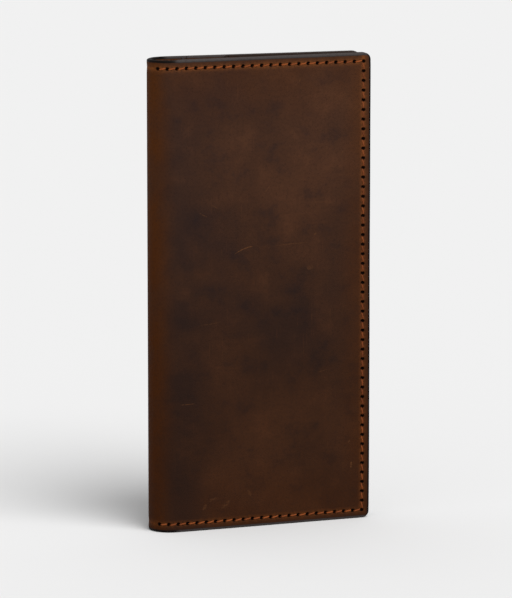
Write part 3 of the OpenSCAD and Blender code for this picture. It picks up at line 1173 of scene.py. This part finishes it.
@dataclass(frozen=True)
class WalletSizes:
    """The wallet's sizes in millimetres and radians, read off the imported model.

    Attributes:
        length: Length along the fold.
        depth: Distance from the fold's centre to a cover's outer face.
        cover: Thickness of the cover.
        wedge: Angle between the closed halves.
        fold_x: The fold centre's place along X.
        front_reach: Distance from the fold's centre to the front half's open edge.
        back_reach: The same for the back half.
        card_mouths: Places of the card pockets' mouths from the fold line, the facing's last.
        bill_mouth: Place of the bill panel's free edge.
        slip_mouth: Place of the slip pocket's mouth.
        panel_start: Place of the card panel's edge at the fold.
        column: Length of a column of card pockets.
        pocket_reach: Depth of a card pocket from its mouth to its foot.
        panel: Thickness of the inner panels.
        pocket: Thickness of a card pocket.
        facing: Thickness of the front card pocket and of the slip pocket.
        gap: Depth of an empty bill pocket.
    """

    length: float
    depth: float
    cover: float
    wedge: float
    fold_x: float
    front_reach: float
    back_reach: float
    card_mouths: tuple[float, ...]
    bill_mouth: float
    slip_mouth: float
    panel_start: float
    column: float
    pocket_reach: float
    panel: float = 1.0
    pocket: float = 0.6
    facing: float = 0.9
    gap: float = 0.3

    @classmethod
    def from_frame(cls) -> "WalletSizes":
        """Reads the sizes off the boxes of the CAD nodes and the fold's joints.

        The angle between the halves is what the two hinges turn in all, past a half turn. A
        place in the front half is its X, turned back by that angle.
        """
        back_low, back_high = extent("cover_back")
        depth = back_high[1]
        fold_x = extent("cover_spine")[0][0] + depth
        turn = sum(joint["range_deg"][1] for joint in frame["joints"])
        wedge = math.radians(turn - 180.0)
        c, s = math.cos(wedge), math.sin(wedge)
        cover = depth - back_low[1]
        panel_level = depth - cover - cls.gap - cls.panel

        def front_place(x: float, level: float) -> float:
            """Place from the fold line of a point of the front half at X and a level."""
            return (x - fold_x - s * level) / c

        nodes = [f"card_pocket_lower_{k}" for k in (1, 2, 3)]
        levels = [panel_level - k * cls.pocket for k in (1, 2, 3)]
        mouths = [front_place(extent(node)[0][0], level) for node, level in zip(nodes, levels)]
        mouths.append(front_place(extent("card_facing")[0][0], levels[-1] - cls.facing))
        first = extent(nodes[0])
        return cls(
            length=back_high[2] - back_low[2],
            depth=depth,
            cover=cover,
            wedge=wedge,
            fold_x=fold_x,
            front_reach=front_place(extent("cover_front")[1][0], depth),
            back_reach=back_high[0] - fold_x,
            card_mouths=tuple(mouths),
            bill_mouth=extent("bill_panel")[0][0] - fold_x,
            slip_mouth=extent("slip_pocket")[0][0] - fold_x,
            panel_start=front_place(extent("card_panel")[0][0], panel_level),
            column=first[1][2] - first[0][2],
            pocket_reach=front_place(first[1][0], levels[0]) - mouths[0],
        )


@dataclass
class Finishes:
    """The finished materials, by the record's slots."""

    cover: bpy.types.Material
    panel: bpy.types.Material
    pocket: bpy.types.Material
    thread: bpy.types.Material


COVER_EDGE = EdgeFinish(inset=1.375, roll=0.75)
PANEL_EDGE = EdgeFinish(inset=1.375, roll=0.40, loops=7)
POCKET_EDGE = EdgeFinish(inset=1.375, roll=0.28, loops=7)
OPEN_CORNERS = {1: 2.8, 2: 2.8}  # radii of a sheet's two corners at the open edge
PRESS_START = 4.2
PRESS_END = 8.0


def inside(x: Array, low: float, high: float) -> Array:
    """1 well inside low..high and 0 on the sewn strips along both of its ends."""
    return ease(PRESS_START, PRESS_END, x - low) * ease(PRESS_START, PRESS_END, high - x)


@dataclass
class Half:
    """What the two halves share: their bent cover, its seams and the way in to each layer.

    Attributes:
        sizes: The wallet's sizes.
        seams: Where the stitches run.
        finishes: The materials.
        side: Which half it is.
    """

    sizes: WalletSizes
    seams: SeamPlan
    finishes: Finishes
    side: Side
    shape: HalfShape = field(init=False)

    SPINE = "spine"
    SEEDS = {Side.BACK: 11, Side.FRONT: 23}
    END_SHADE = 0.12
    OPEN_SHADE = 0.47
    SEAM_DIP = 0.14

    def __post_init__(self) -> None:
        """Bends the half's cross-section."""
        sizes = self.sizes
        curve = FoldCurve(sizes.depth, (math.pi + sizes.wedge) / 2, sizes.wedge / 2)
        reach = sizes.back_reach if self.side is Side.BACK else sizes.front_reach
        self.shape = HalfShape(self.side, curve, sizes.fold_x, sizes.wedge, reach, sizes.length)

    @property
    def body(self) -> str:
        """The body that the half rides on."""
        return "back_half" if self.side is Side.BACK else "front_half"

    @property
    def word(self) -> str:
        """The half's word in its pieces' names."""
        return self.side.name.lower()

    @property
    def end_rows(self) -> tuple[float, float]:
        """Heights of the two end seams."""
        return self.seams.margin, self.sizes.length - self.seams.margin

    @property
    def last_line(self) -> float:
        """The mesh line half a stitch past the seam along the open edge."""
        return self.shape.edge - self.seams.margin + 2 * self.seams.row_pitch / self.seams.cells

    def along(self, x: float) -> float:
        """Distance along the outer face at a distance from the fold line."""
        return self.shape.curve.along(x)

    def past(self, u: Array, place: float) -> Array:
        """0 before the free edge of a sheet at a place from the fold line, and 1 past it."""
        return ease(*LIP, u - self.along(place))

    def bend(self, piece: bpy.types.Object) -> None:
        """Bakes a piece's transform into its mesh; the piece does not turn with the fold."""
        height = self.sizes.length / 2
        middle = self.shape.place(np.array(0.0), np.array(self.sizes.cover), height)
        flat = self.shape.place(np.array(self.along(0.0)), np.array(self.sizes.cover), height)
        if self.side is Side.BACK:
            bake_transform(piece)
        else:
            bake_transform(piece)

    def lines(self, start: float, end: Optional[float] = None) -> Array:
        """Mesh lines across the half from a free edge to another or to the open edge's seam."""
        first = start + PANEL_EDGE.inset
        last = self.last_line if end is None else end - PANEL_EDGE.inset
        lattice = self.seams.u_lines(self.shape.edge, first + MIN_GAP, last + SLACK)
        lines = np.concatenate([[first], lattice])
        if last - lines[-1] > MIN_GAP:
            lines = np.append(lines, last)
        return lines

    def heights(self, low: float, high: float) -> Array:
        """Mesh lines along the half from one end of a sheet to the other."""
        first, last = low + PANEL_EDGE.inset, high - PANEL_EDGE.inset
        lines = self.seams.v_lines(first - 0.1, last + 0.1)
        if lines[0] - first > MIN_GAP:
            lines = np.concatenate([[first], lines])
        if last - lines[-1] > MIN_GAP:
            lines = np.append(lines, last)
        return lines

    def holes(self, u: Array, v: Array, rows: Sequence[float], column: bool) -> list[tuple[int, int]]:
        """Line numbers of those holes that have two mesh cells of the lattice on every side.

        Args:
            u: Mesh lines across.
            v: Mesh lines along.
            rows: Heights of the rows.
            column: True if the sheet has the seam along the open edge.

        Returns:
            Numbers of the lines across and along that cross at each hole.
        """
        holes_u = self.seams.row_holes(self.shape.edge)
        places = [(x, row) for row in rows for x in holes_u]
        if column:
            places += [(holes_u[0], z) for z in self.seams.column_holes()[1:-1]]
        cells, half = self.seams.cells, self.seams.cells // 2
        step_u, step_v = self.seams.row_pitch / cells, self.seams.column_pitch / cells
        found = []
        for x, z in places:
            i, j = int(np.argmin(np.abs(u - x))), int(np.argmin(np.abs(v - z)))
            fits = half <= i < len(u) - half and half <= j < len(v) - half
            if not fits or abs(u[i] - x) > OFF_LINE or abs(v[j] - z) > OFF_LINE:
                continue
            near_u, near_v = u[i - half : i + half + 1], v[j - half : j + half + 1]
            even_u = np.allclose(np.diff(near_u), step_u, atol=UNEVEN)
            even_v = np.allclose(np.diff(near_v), step_v, atol=UNEVEN)
            if even_u and even_v:
                found.append((i, j))
        return found

    def seam_skin(self, u: Array, v: Array) -> Array:
        """The shallow dip along the three seams: a bell curve of the distance to the line."""
        margin = self.seams.margin
        across = np.abs(self.shape.edge - margin - u)
        along = np.minimum(np.abs(v - margin), np.abs(self.sizes.length - margin - v))
        nearest = np.minimum(across, along)
        return -self.SEAM_DIP * np.exp(-((nearest / 1.1) ** 2))

    def cover(self) -> Sheet:
        """The half's share of the cover, from the middle of the fold to the open edge."""
        near = np.array([0.0, 0.06, 0.2, 0.45])
        lattice = self.seams.u_lines(self.shape.edge, 0.8, self.last_line + SLACK)
        u = np.concatenate([near, lattice])
        v = self.heights(0.0, self.sizes.length)
        return Sheet(
            name=f"leather_cover_{self.word}",
            shape=self.shape, u=u, v=v, thickness=self.sizes.cover, face=Face.OUTER,
            edge=COVER_EDGE, base=lambda a, b: np.zeros_like(a),
            holes=self.holes(u, v, self.end_rows, True), skin=self.seam_skin,
            rounded=OPEN_CORNERS, cut=True)

    def full_sheet(self, name: str, mouth: float, thickness: float, base: Callable, tone: float,
                   column: bool = True,
                   dividers: Optional[tuple[float, float, float]] = None) -> Sheet:
        """An inner sheet as long as the wallet, from its free edge to the open edge.

        Args:
            name: The piece's name.
            mouth: Place of its free edge from the fold line.
            thickness: The leather's thickness.
            base: Inward distance of its hidden face.
            tone: Offset of its leather's pattern.
            column: True if it has the seam along the open edge.
            dividers: The lines of stitches that part the columns, if they go through it.

        Returns:
            The sheet.
        """
        start = self.along(mouth)
        u, v = self.lines(start), self.heights(0.0, self.sizes.length)
        return Sheet(
            name=name, shape=self.shape, u=u, v=v, thickness=thickness, face=Face.INNER,
            edge=PANEL_EDGE, base=base, holes=self.holes(u, v, self.end_rows, column),
            rounded=OPEN_CORNERS, mouth=start, dividers=dividers, tone=tone, skin=self.seam_skin)

    def panel_base(self, u: Array, v: Array) -> Array:
        """Inward distance of a panel's hidden face: on the cover, and off it past the seams."""
        free = ease(PRESS_START, PRESS_END, self.shape.edge - u) * inside(v, 0.0, self.sizes.length)
        return self.sizes.cover + self.sizes.gap * free

    def panel_face(self, u: Array, v: Array) -> Array:
        """Inward distance of a panel's visible face."""
        return self.panel_base(u, v) + self.sizes.panel

    def stitch_runs(self, surface: Callable, first: int, last: Optional[int]) -> list[ThreadRun]:
        """The two end seams and the seam along the open edge as runs of stitches on a face.

        Args:
            surface: The face.
            first: First stitch of the end seams, counted from the open edge.
            last: The one after the last; the seam along the edge is left out past the first.

        Returns:
            The runs.
        """
        across = self.seams.row_holes(self.shape.edge)[first : None if last is None else last + 1]
        runs = []
        for row in self.end_rows:
            places = np.stack([across, np.full_like(across, row)], axis=1)
            runs.append(ThreadRun(places[:-1], places[1:], surface, self.END_SHADE))
        if first == 0:
            up = self.seams.column_holes()
            places = np.stack([np.full_like(up, across[0]), up], axis=1)
            runs.append(ThreadRun(places[:-1], places[1:], surface, self.OPEN_SHADE))
        return runs

    def outer_surface(self, u: Array, v: Array, h: Array) -> Array:
        """Points at a height above the cover's outer face."""
        return self.shape.place(u, -(h + self.seam_skin(u, v)), v)

    def inner_surface(self, u: Array, v: Array, h: Array) -> Array:
        """Points at a height above the innermost face."""
        return self.shape.place(u, self.innermost(u, v) + h, v)

    def innermost(self, u: Array, v: Array) -> Array:
        """Inward distance of the innermost face on the sewn strips."""
        raise NotImplementedError

    def perimeter_thread(self) -> None:
        """The thread round the half, with the stitches on the bend of the fold as a second piece."""
        flat = self.seams.rows - 2
        faces = (self.outer_surface, self.inner_surface)
        pieces = ((f"saddle_stitch_{self.word}", f"thread_{self.word}", 0, flat),
                  (f"fold_stitch_{self.word}", "thread_spine", flat, None))
        for k, (name, node, first, last) in enumerate(pieces):
            runs = [run for face in faces for run in self.stitch_runs(face, first, last)]
            piece = Stitching().build(name, runs, self.finishes.thread, self.SEEDS[self.side] + k)
            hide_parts(node)
            self.bend(piece)

    def add_cover(self, *nodes: str) -> None:
        """Builds the cover, curved across the fold, and bakes its transform."""
        piece = self.cover().build(self.finishes.cover)
        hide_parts(*nodes)
        self.bend(piece)

    def add_sheet(self, sheet: Sheet, material: bpy.types.Material, slot: str, node: str) -> None:
        """Builds an inner sheet, which rides on the half."""
        piece = sheet.build(material)
        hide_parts(node)
        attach(piece, self.body)


@dataclass
class BillHalf(Half):
    """The back half: the bill panel behind the cover, and the slip pocket on the panel."""

    side: Side = Side.BACK

    def innermost(self, u: Array, v: Array) -> Array:
        """The cover, then the panel and the slip pocket from their mouths on."""
        sizes = self.sizes
        on_panel, on_slip = self.past(u, sizes.bill_mouth), self.past(u, sizes.slip_mouth)
        return sizes.cover + sizes.panel * on_panel + sizes.facing * on_slip

    def build(self) -> None:
        """Makes the half's pieces from the outside in."""
        sizes = self.sizes
        self.add_cover("cover_back", "cover_spine")
        panel = self.full_sheet("leather_bill_panel", sizes.bill_mouth, sizes.panel,
                                self.panel_base, 50.0)
        self.add_sheet(panel, self.finishes.panel, "panel_leather", "bill_panel")
        slip = self.full_sheet("leather_slip_pocket", sizes.slip_mouth, sizes.facing,
                               self.panel_face, 90.0)
        self.add_sheet(slip, self.finishes.pocket, "pocket_leather", "slip_pocket")
        self.perimeter_thread()


@dataclass
class CardHalf(Half):
    """The front half: two columns of card pockets on their panel, under one front pocket."""

    side: Side = Side.FRONT

    EAR = 8.0
    TONGUE_INSET = 5.0
    FOOT_SEAM = 1.5
    FOOT_START = 7.0
    DIVIDER_INSET = 2.2
    DIVIDER_START = 0.8
    CLEARANCE = 0.02
    FRONT_LIFT = 0.04
    MOUTH_LIFT, MOUTH_FADE = 0.16, 4.0
    FRONT_MOUTH_LIFT, FRONT_MOUTH_FADE = 0.2, 5.0
    FRONT_PRESS = (4.4, 9.5)
    FOOT_SEED = 300
    DIVIDER_SEED = 400

    @property
    def columns(self) -> tuple[tuple[float, float], tuple[float, float]]:
        """Foot and top of the two columns."""
        length, column = self.sizes.length, self.sizes.column
        return (0.0, column), (length - column, length)

    @property
    def dividers(self) -> tuple[float, float, float]:
        """Heights of the two lines of stitches that part the columns, and where both end."""
        (_, low), (high, _) = self.columns
        end = self.divider_places[-1] - self.seams.row_pitch / 2
        return low - self.DIVIDER_INSET, high + self.DIVIDER_INSET, float(end)

    @property
    def divider_places(self) -> Array:
        """Places across the wallet of the holes of either line."""
        holes = self.seams.row_holes(self.shape.edge)[1:]
        return holes[holes > self.along(self.sizes.card_mouths[0]) + self.DIVIDER_START]

    def in_column(self, v: Array) -> Array:
        """1 inside either column and 0 on the sewn strips at their ends."""
        return sum(inside(v, low, high) for low, high in self.columns)

    def innermost(self, u: Array, v: Array) -> Array:
        """The cover, then the panel, the ears of the card pockets and the front pocket."""
        sizes = self.sizes
        depth = sizes.cover + sizes.panel * self.past(u, sizes.panel_start)
        for mouth in sizes.card_mouths[:3]:
            on_ear = self.past(u, mouth) * ease(-LIP[0], -LIP[1], u - self.along(mouth) - self.EAR)
            depth = depth + sizes.pocket * on_ear
        return depth + sizes.facing * self.past(u, sizes.card_mouths[3])

    def card_panel(self) -> Sheet:
        """The panel that the card pockets are sewn to."""
        return self.full_sheet("leather_card_panel", self.sizes.panel_start, self.sizes.panel,
                               self.panel_base, 130.0, False, self.dividers)

    def pocket_base(self, k: int) -> Callable[[Array, Array], Array]:
        """Inward distance of the hidden face of card pocket k: on those below, off the seams.

        Its mouth stands off a little, fading to nothing a centimetre in.
        """
        start = self.along(self.sizes.card_mouths[k - 1])

        def base(u: Array, v: Array) -> Array:
            """Depth of the panel and of the k - 1 pockets on it, with the lifted mouth."""
            lift = self.MOUTH_LIFT * np.exp(-np.abs(u - start) / self.MOUTH_FADE)
            stack = self.sizes.pocket * (k - 1) + lift
            return self.panel_face(u, v) + self.CLEARANCE + stack * self.in_column(v)

        return base

    def card_pocket(self, k: int, low: float, high: float, word: str) -> Sheet:
        """Card pocket k of a column: full width at its mouth, with a narrower tongue below."""
        start = self.along(self.sizes.card_mouths[k - 1])
        u = self.lines(start, start + self.sizes.pocket_reach)
        v = self.heights(low, high)
        ear = int(np.searchsorted(u, start + self.EAR - PANEL_EDGE.inset))
        first = int(np.searchsorted(v, low + self.TONGUE_INSET + PANEL_EDGE.inset))
        last = int(np.searchsorted(v, high - self.TONGUE_INSET - PANEL_EDGE.inset))
        end_u, end_v = len(u) - 1, len(v) - 1
        outline = [(0, 0), (ear, 0), (ear, first), (end_u, first), (end_u, last), (ear, last),
                   (ear, end_v), (0, end_v)]
        row = self.end_rows[0 if low == 0.0 else 1]
        return Sheet(
            name=f"leather_card_pocket_{word}_{k}", shape=self.shape, u=u, v=v,
            thickness=self.sizes.pocket, face=Face.INNER, edge=POCKET_EDGE,
            base=self.pocket_base(k), outline=outline,
            blocks=[(0, ear, 0, end_v), (ear, end_u, first, last)],
            holes=[hole for hole in self.holes(u, v, (row,), False) if hole[0] <= ear - 2],
            mouth=start, dividers=self.dividers, tone=170.0 + 23.0 * k, skin=self.seam_skin)

    def card_facing(self) -> Sheet:
        """The front pocket: over the card pockets in both columns, down to the panel between."""
        mouth = self.sizes.card_mouths[3]
        start = self.along(mouth)

        def base(a: Array, b: Array) -> Array:
            """Depth of the panel and three pockets, with the lifted mouth."""
            lift = self.FRONT_MOUTH_LIFT * np.exp(-np.abs(a - start) / self.FRONT_MOUTH_FADE)
            stack = 3.0 * self.sizes.pocket + 0.1 + lift
            free = self.in_column(b) * ease(*self.FRONT_PRESS, self.shape.edge - a)
            return self.panel_face(a, b) + self.FRONT_LIFT + stack * free

        return self.full_sheet("leather_card_facing", mouth, self.sizes.facing, base, 260.0,
                               dividers=self.dividers)

    def divider_surface(self, u: Array, v: Array, h: Array) -> Array:
        """Points above the innermost face between the columns, where the panel stands off."""
        lift = self.panel_base(u, v) - self.sizes.cover + self.FRONT_LIFT
        return self.inner_surface(u, v, h + lift)

    def divider_thread(self, height: float, word: str, seed: int) -> None:
        """The stitches of one of the lines between the columns."""
        holes = self.divider_places
        places = np.stack([holes, np.full_like(holes, height)], axis=1)
        run = ThreadRun(places[:-1], places[1:], self.divider_surface, 0.2)
        piece = Stitching().build(f"divider_stitch_{word}", [run], self.finishes.thread, seed)
        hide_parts(f"thread_divider_{word}")
        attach(piece, self.body)

    def foot_thread(self, sheet: Sheet, k: int, low: float, word: str, seed: int) -> None:
        """The stitches across the foot of a card pocket."""
        run = self.sizes.column - 2 * self.FOOT_START
        up = low + self.FOOT_START + np.linspace(0.0, run, int(run / self.seams.column_pitch) + 1)
        start = self.along(self.sizes.card_mouths[k - 1]) + self.sizes.pocket_reach
        places = np.stack([np.full_like(up, start - self.FOOT_SEAM), up], axis=1)
        runs = [ThreadRun(places[:-1], places[1:], sheet.surface, 0.3)]
        low_stitching = Stitching(crest=0.02, half_height=0.15)
        piece = low_stitching.build(f"foot_stitch_{word}_{k}", runs, self.finishes.thread, seed)
        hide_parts(f"thread_foot_{word}_{k}")
        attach(piece, self.body)

    def build(self) -> None:
        """Makes the half's pieces from the outside in."""
        self.add_cover("cover_front", "cover_spine")
        self.add_sheet(self.card_panel(), self.finishes.panel, "panel_leather", "card_panel")
        for word, (low, high) in zip(("lower", "upper"), self.columns):
            for k in (1, 2, 3):
                sheet = self.card_pocket(k, low, high, word)
                node = f"card_pocket_{word}_{k}"
                self.add_sheet(sheet, self.finishes.pocket, "pocket_leather", node)
                self.foot_thread(sheet, k, low, word, self.FOOT_SEED + k)
        self.add_sheet(self.card_facing(), self.finishes.pocket, "pocket_leather", "card_facing")
        for word, height in zip(("lower", "upper"), self.dividers):
            self.divider_thread(height, word, self.DIVIDER_SEED)
        self.perimeter_thread()


def direction(azimuth: float, elevation: float) -> Vector:
    """Unit vector towards an azimuth and an elevation in degrees; azimuth 0 lies along -Y."""
    a, e = math.radians(azimuth), math.radians(elevation)
    return Vector((math.sin(a) * math.cos(e), -math.cos(a) * math.cos(e), math.sin(e)))


@dataclass(frozen=True)
class Studio:
    """White floor and surround, a broad soft sun from the front right, and the camera.

    Attributes:
        white: The surround's radiance as it is seen.
        ambient: The surround's radiance as it lights the scene.
        floor_albedo: The floor's reflectance.
        sun: Irradiance of the sun lamp.
        sun_from: Azimuth and elevation in degrees that the sun shines from.
        sun_angle: The sun's apparent width in degrees.
        azimuth: Camera azimuth in degrees; 0 looks along +Y.
        elevation: Camera elevation in degrees.
        distance: Distance from the camera to its aim, in metres.
        lens: Focal length in millimetres.
        aim: The point that the camera looks at.
    """

    white: float = 0.88
    ambient: float = 0.50
    floor_albedo: float = 0.80
    sun: float = 2.30
    sun_from: tuple[float, float] = (22.0, 55.0)
    sun_angle: float = 42.0
    azimuth: float = -15.8
    elevation: float = 9.6
    distance: float = 1.732
    lens: float = 260.0
    aim: tuple[float, float, float] = (-0.0014, 0.0, 0.0919)

    def build(self) -> None:
        """Makes the floor, the lights and the camera."""
        self.surround()
        self.floor()
        self.sun_lamp()
        self.camera()

    def surround(self) -> None:
        """An even world, white to the eye and dimmer as a light."""
        world = bpy.data.worlds.new("surround")
        world.use_nodes = True
        tree = Tree(world.node_tree)
        seen = tree.node("LightPath").outputs["Is Camera Ray"]
        strength = tree.math("MULTIPLY_ADD", seen, self.white - self.ambient, self.ambient)
        background = world.node_tree.nodes["Background"]
        background.inputs["Color"].default_value = (1.0, 1.0, 1.0, 1.0)
        world.node_tree.links.new(strength, background.inputs["Strength"])
        bpy.context.scene.world = world

    def floor(self) -> None:
        """A wide matt white floor."""
        half = 40.0
        corners = [(-half, -half, 0.0), (half, -half, 0.0), (half, half, 0.0), (-half, half, 0.0)]
        mesh = bpy.data.meshes.new("studio_floor")
        mesh.from_pydata(corners, [], [(0, 1, 2, 3)])
        material, _, shader = new_material("studio_white")
        grey = self.floor_albedo
        shader.inputs["Base Color"].default_value = (grey, grey, grey, 1.0)
        shader.inputs["Roughness"].default_value = 0.9
        shader.inputs["Specular IOR Level"].default_value = 0.0
        mesh.materials.append(material)
        floor = bpy.data.objects.new("studio_floor", mesh)
        bpy.context.scene.collection.objects.link(floor)

    def sun_lamp(self) -> None:
        """The soft sun."""
        data = bpy.data.lights.new("key_sun", "SUN")
        data.energy = self.sun
        data.angle = math.radians(self.sun_angle)
        lamp = bpy.data.objects.new("key_sun", data)
        lamp.rotation_euler = direction(*self.sun_from).to_track_quat("Z", "Y").to_euler()
        bpy.context.scene.collection.objects.link(lamp)

    def camera(self) -> None:
        """The camera on a long lens, upright and turned to the aim."""
        back = direction(self.azimuth, self.elevation)
        data = bpy.data.cameras.new("camera")
        data.lens = self.lens
        data.sensor_width = 36.0
        data.clip_end = 100.0
        camera = bpy.data.objects.new("camera", data)
        turn = back.to_track_quat("Z", "Y").to_matrix().to_4x4()
        camera.matrix_world = Matrix.Translation(Vector(self.aim) + back * self.distance) @ turn
        bpy.context.scene.collection.objects.link(camera)
        bpy.context.scene.camera = camera
        bpy.context.scene.view_settings.view_transform = "Standard"


def make_finishes() -> Finishes:
    """Makes the wallet's four materials."""
    library = NodeLibrary()
    marks = (
        ScuffMark(-42.0, 113.5, 0.35, 4.6, 0.30, -0.030, 0.85),
        ScuffMark(-62.0, 114.5, 0.05, 8.5, 0.22, -0.004, 0.35),
        ScuffMark(-72.5, 118.0, 0.5, 0.7, 0.40, 0.0, 0.70),
        ScuffMark(-70.5, 104.5, 0.4, 1.7, 1.30, 0.0, 0.30),
        ScuffMark(-66.0, 180.0, 1.2, 0.8, 0.40, 0.0, 0.45),
        ScuffMark(-71.5, 181.5, 0.6, 0.7, 0.35, 0.0, 0.40),
        ScuffMark(-88.5, 22.5, 1.5, 1.6, 0.45, 0.0, 0.70),
        ScuffMark(-87.5, 32.0, 1.3, 1.0, 0.35, 0.0, 0.45),
        ScuffMark(-25.5, 9.5, 1.0, 1.6, 0.90, 0.05, 0.35),
        ScuffMark(-29.0, 12.5, 0.3, 2.2, 0.80, -0.04, 0.30),
        ScuffMark(-34.5, 10.0, 0.7, 2.6, 1.10, 0.03, 0.28),
        ScuffMark(-44.5, 14.0, 2.1, 1.8, 0.80, 0.03, 0.30),
        ScuffMark(-18.0, 52.0, 0.02, 3.6, 0.25, 0.01, 0.50),
        ScuffMark(-28.0, 84.0, 0.10, 5.0, 0.22, 0.01, 0.30),
        ScuffMark(-25.0, 128.0, -0.5, 2.2, 0.25, 0.02, 0.45),
        ScuffMark(-30.0, 131.0, -0.6, 1.6, 0.25, 0.0, 0.40),
        ScuffMark(-52.0, 137.0, 0.9, 2.6, 0.25, 0.0, 0.30),
        ScuffMark(-84.0, 150.0, 1.1, 1.2, 0.30, 0.0, 0.35),
        ScuffMark(-76.0, 62.0, 0.2, 2.4, 0.25, 0.02, 0.30),
    )
    cover = LeatherFinish(
        name="oiled_pull_up_leather",
        base=(0.0310, 0.0124, 0.0062, 1.0), light=(0.0510, 0.0190, 0.0083, 1.0),
        dark=(0.0160, 0.0084, 0.0064, 1.0), edge=(0.007, 0.005, 0.0045, 1.0),
        # lift paints light onto the cover, which gets lighter towards its top.
        flesh=(0.13, 0.048, 0.018, 1.0), marks=marks, lift=0.55,
        rubbed=(0.050, 0.0132, 0.0022, 1.0), stain=(0.135, 0.038, 0.0075, 1.0),
        # A grey painted reflection on the cover's edges at the two ends.
        edge_reflection=(0.058, 0.049, 0.047, 1.0))
    panel = LeatherFinish(
        name="oiled_panel_leather",
        base=(0.050, 0.022, 0.011, 1.0), light=(0.095, 0.045, 0.024, 1.0),
        # The panel's grey edge colour is a painted reflection of the light on its polished edge.
        dark=(0.028, 0.012, 0.006, 1.0), edge=(0.066, 0.055, 0.052, 1.0),
        flesh=(0.20, 0.080, 0.032, 1.0), rough=0.5, grain=0.04, coarse=0.3)
    pocket = LeatherFinish(
        name="thin_oiled_leather",
        base=(0.055, 0.024, 0.012, 1.0), light=(0.105, 0.050, 0.026, 1.0),
        dark=(0.030, 0.013, 0.0065, 1.0), edge=(0.030, 0.020, 0.016, 1.0),
        flesh=(0.20, 0.080, 0.032, 1.0), rough=0.5, grain=0.04, coarse=0.25)
    thread = ThreadFinish(
        name="waxed_saddle_thread",
        bright=(0.32, 0.080, 0.0170, 1.0), dark=(0.090, 0.021, 0.007, 1.0), specular=0.12)
    return Finishes(cover.build(library), panel.build(library), pocket.build(library),
                    thread.build())


def main() -> None:
    """Builds the stage and the two halves, and logs the wallet's sizes."""
    logging.basicConfig(level=logging.INFO, format="%(name)s %(message)s")
    Studio().build()
    sizes = WalletSizes.from_frame()
    LOG.info("sizes %s", sizes)
    finishes = make_finishes()
    seams = SeamPlan()
    CardHalf(sizes=sizes, seams=seams, finishes=finishes).build()
    BillHalf(sizes=sizes, seams=seams, finishes=finishes).build()


if __name__ == "__main__":
    main()
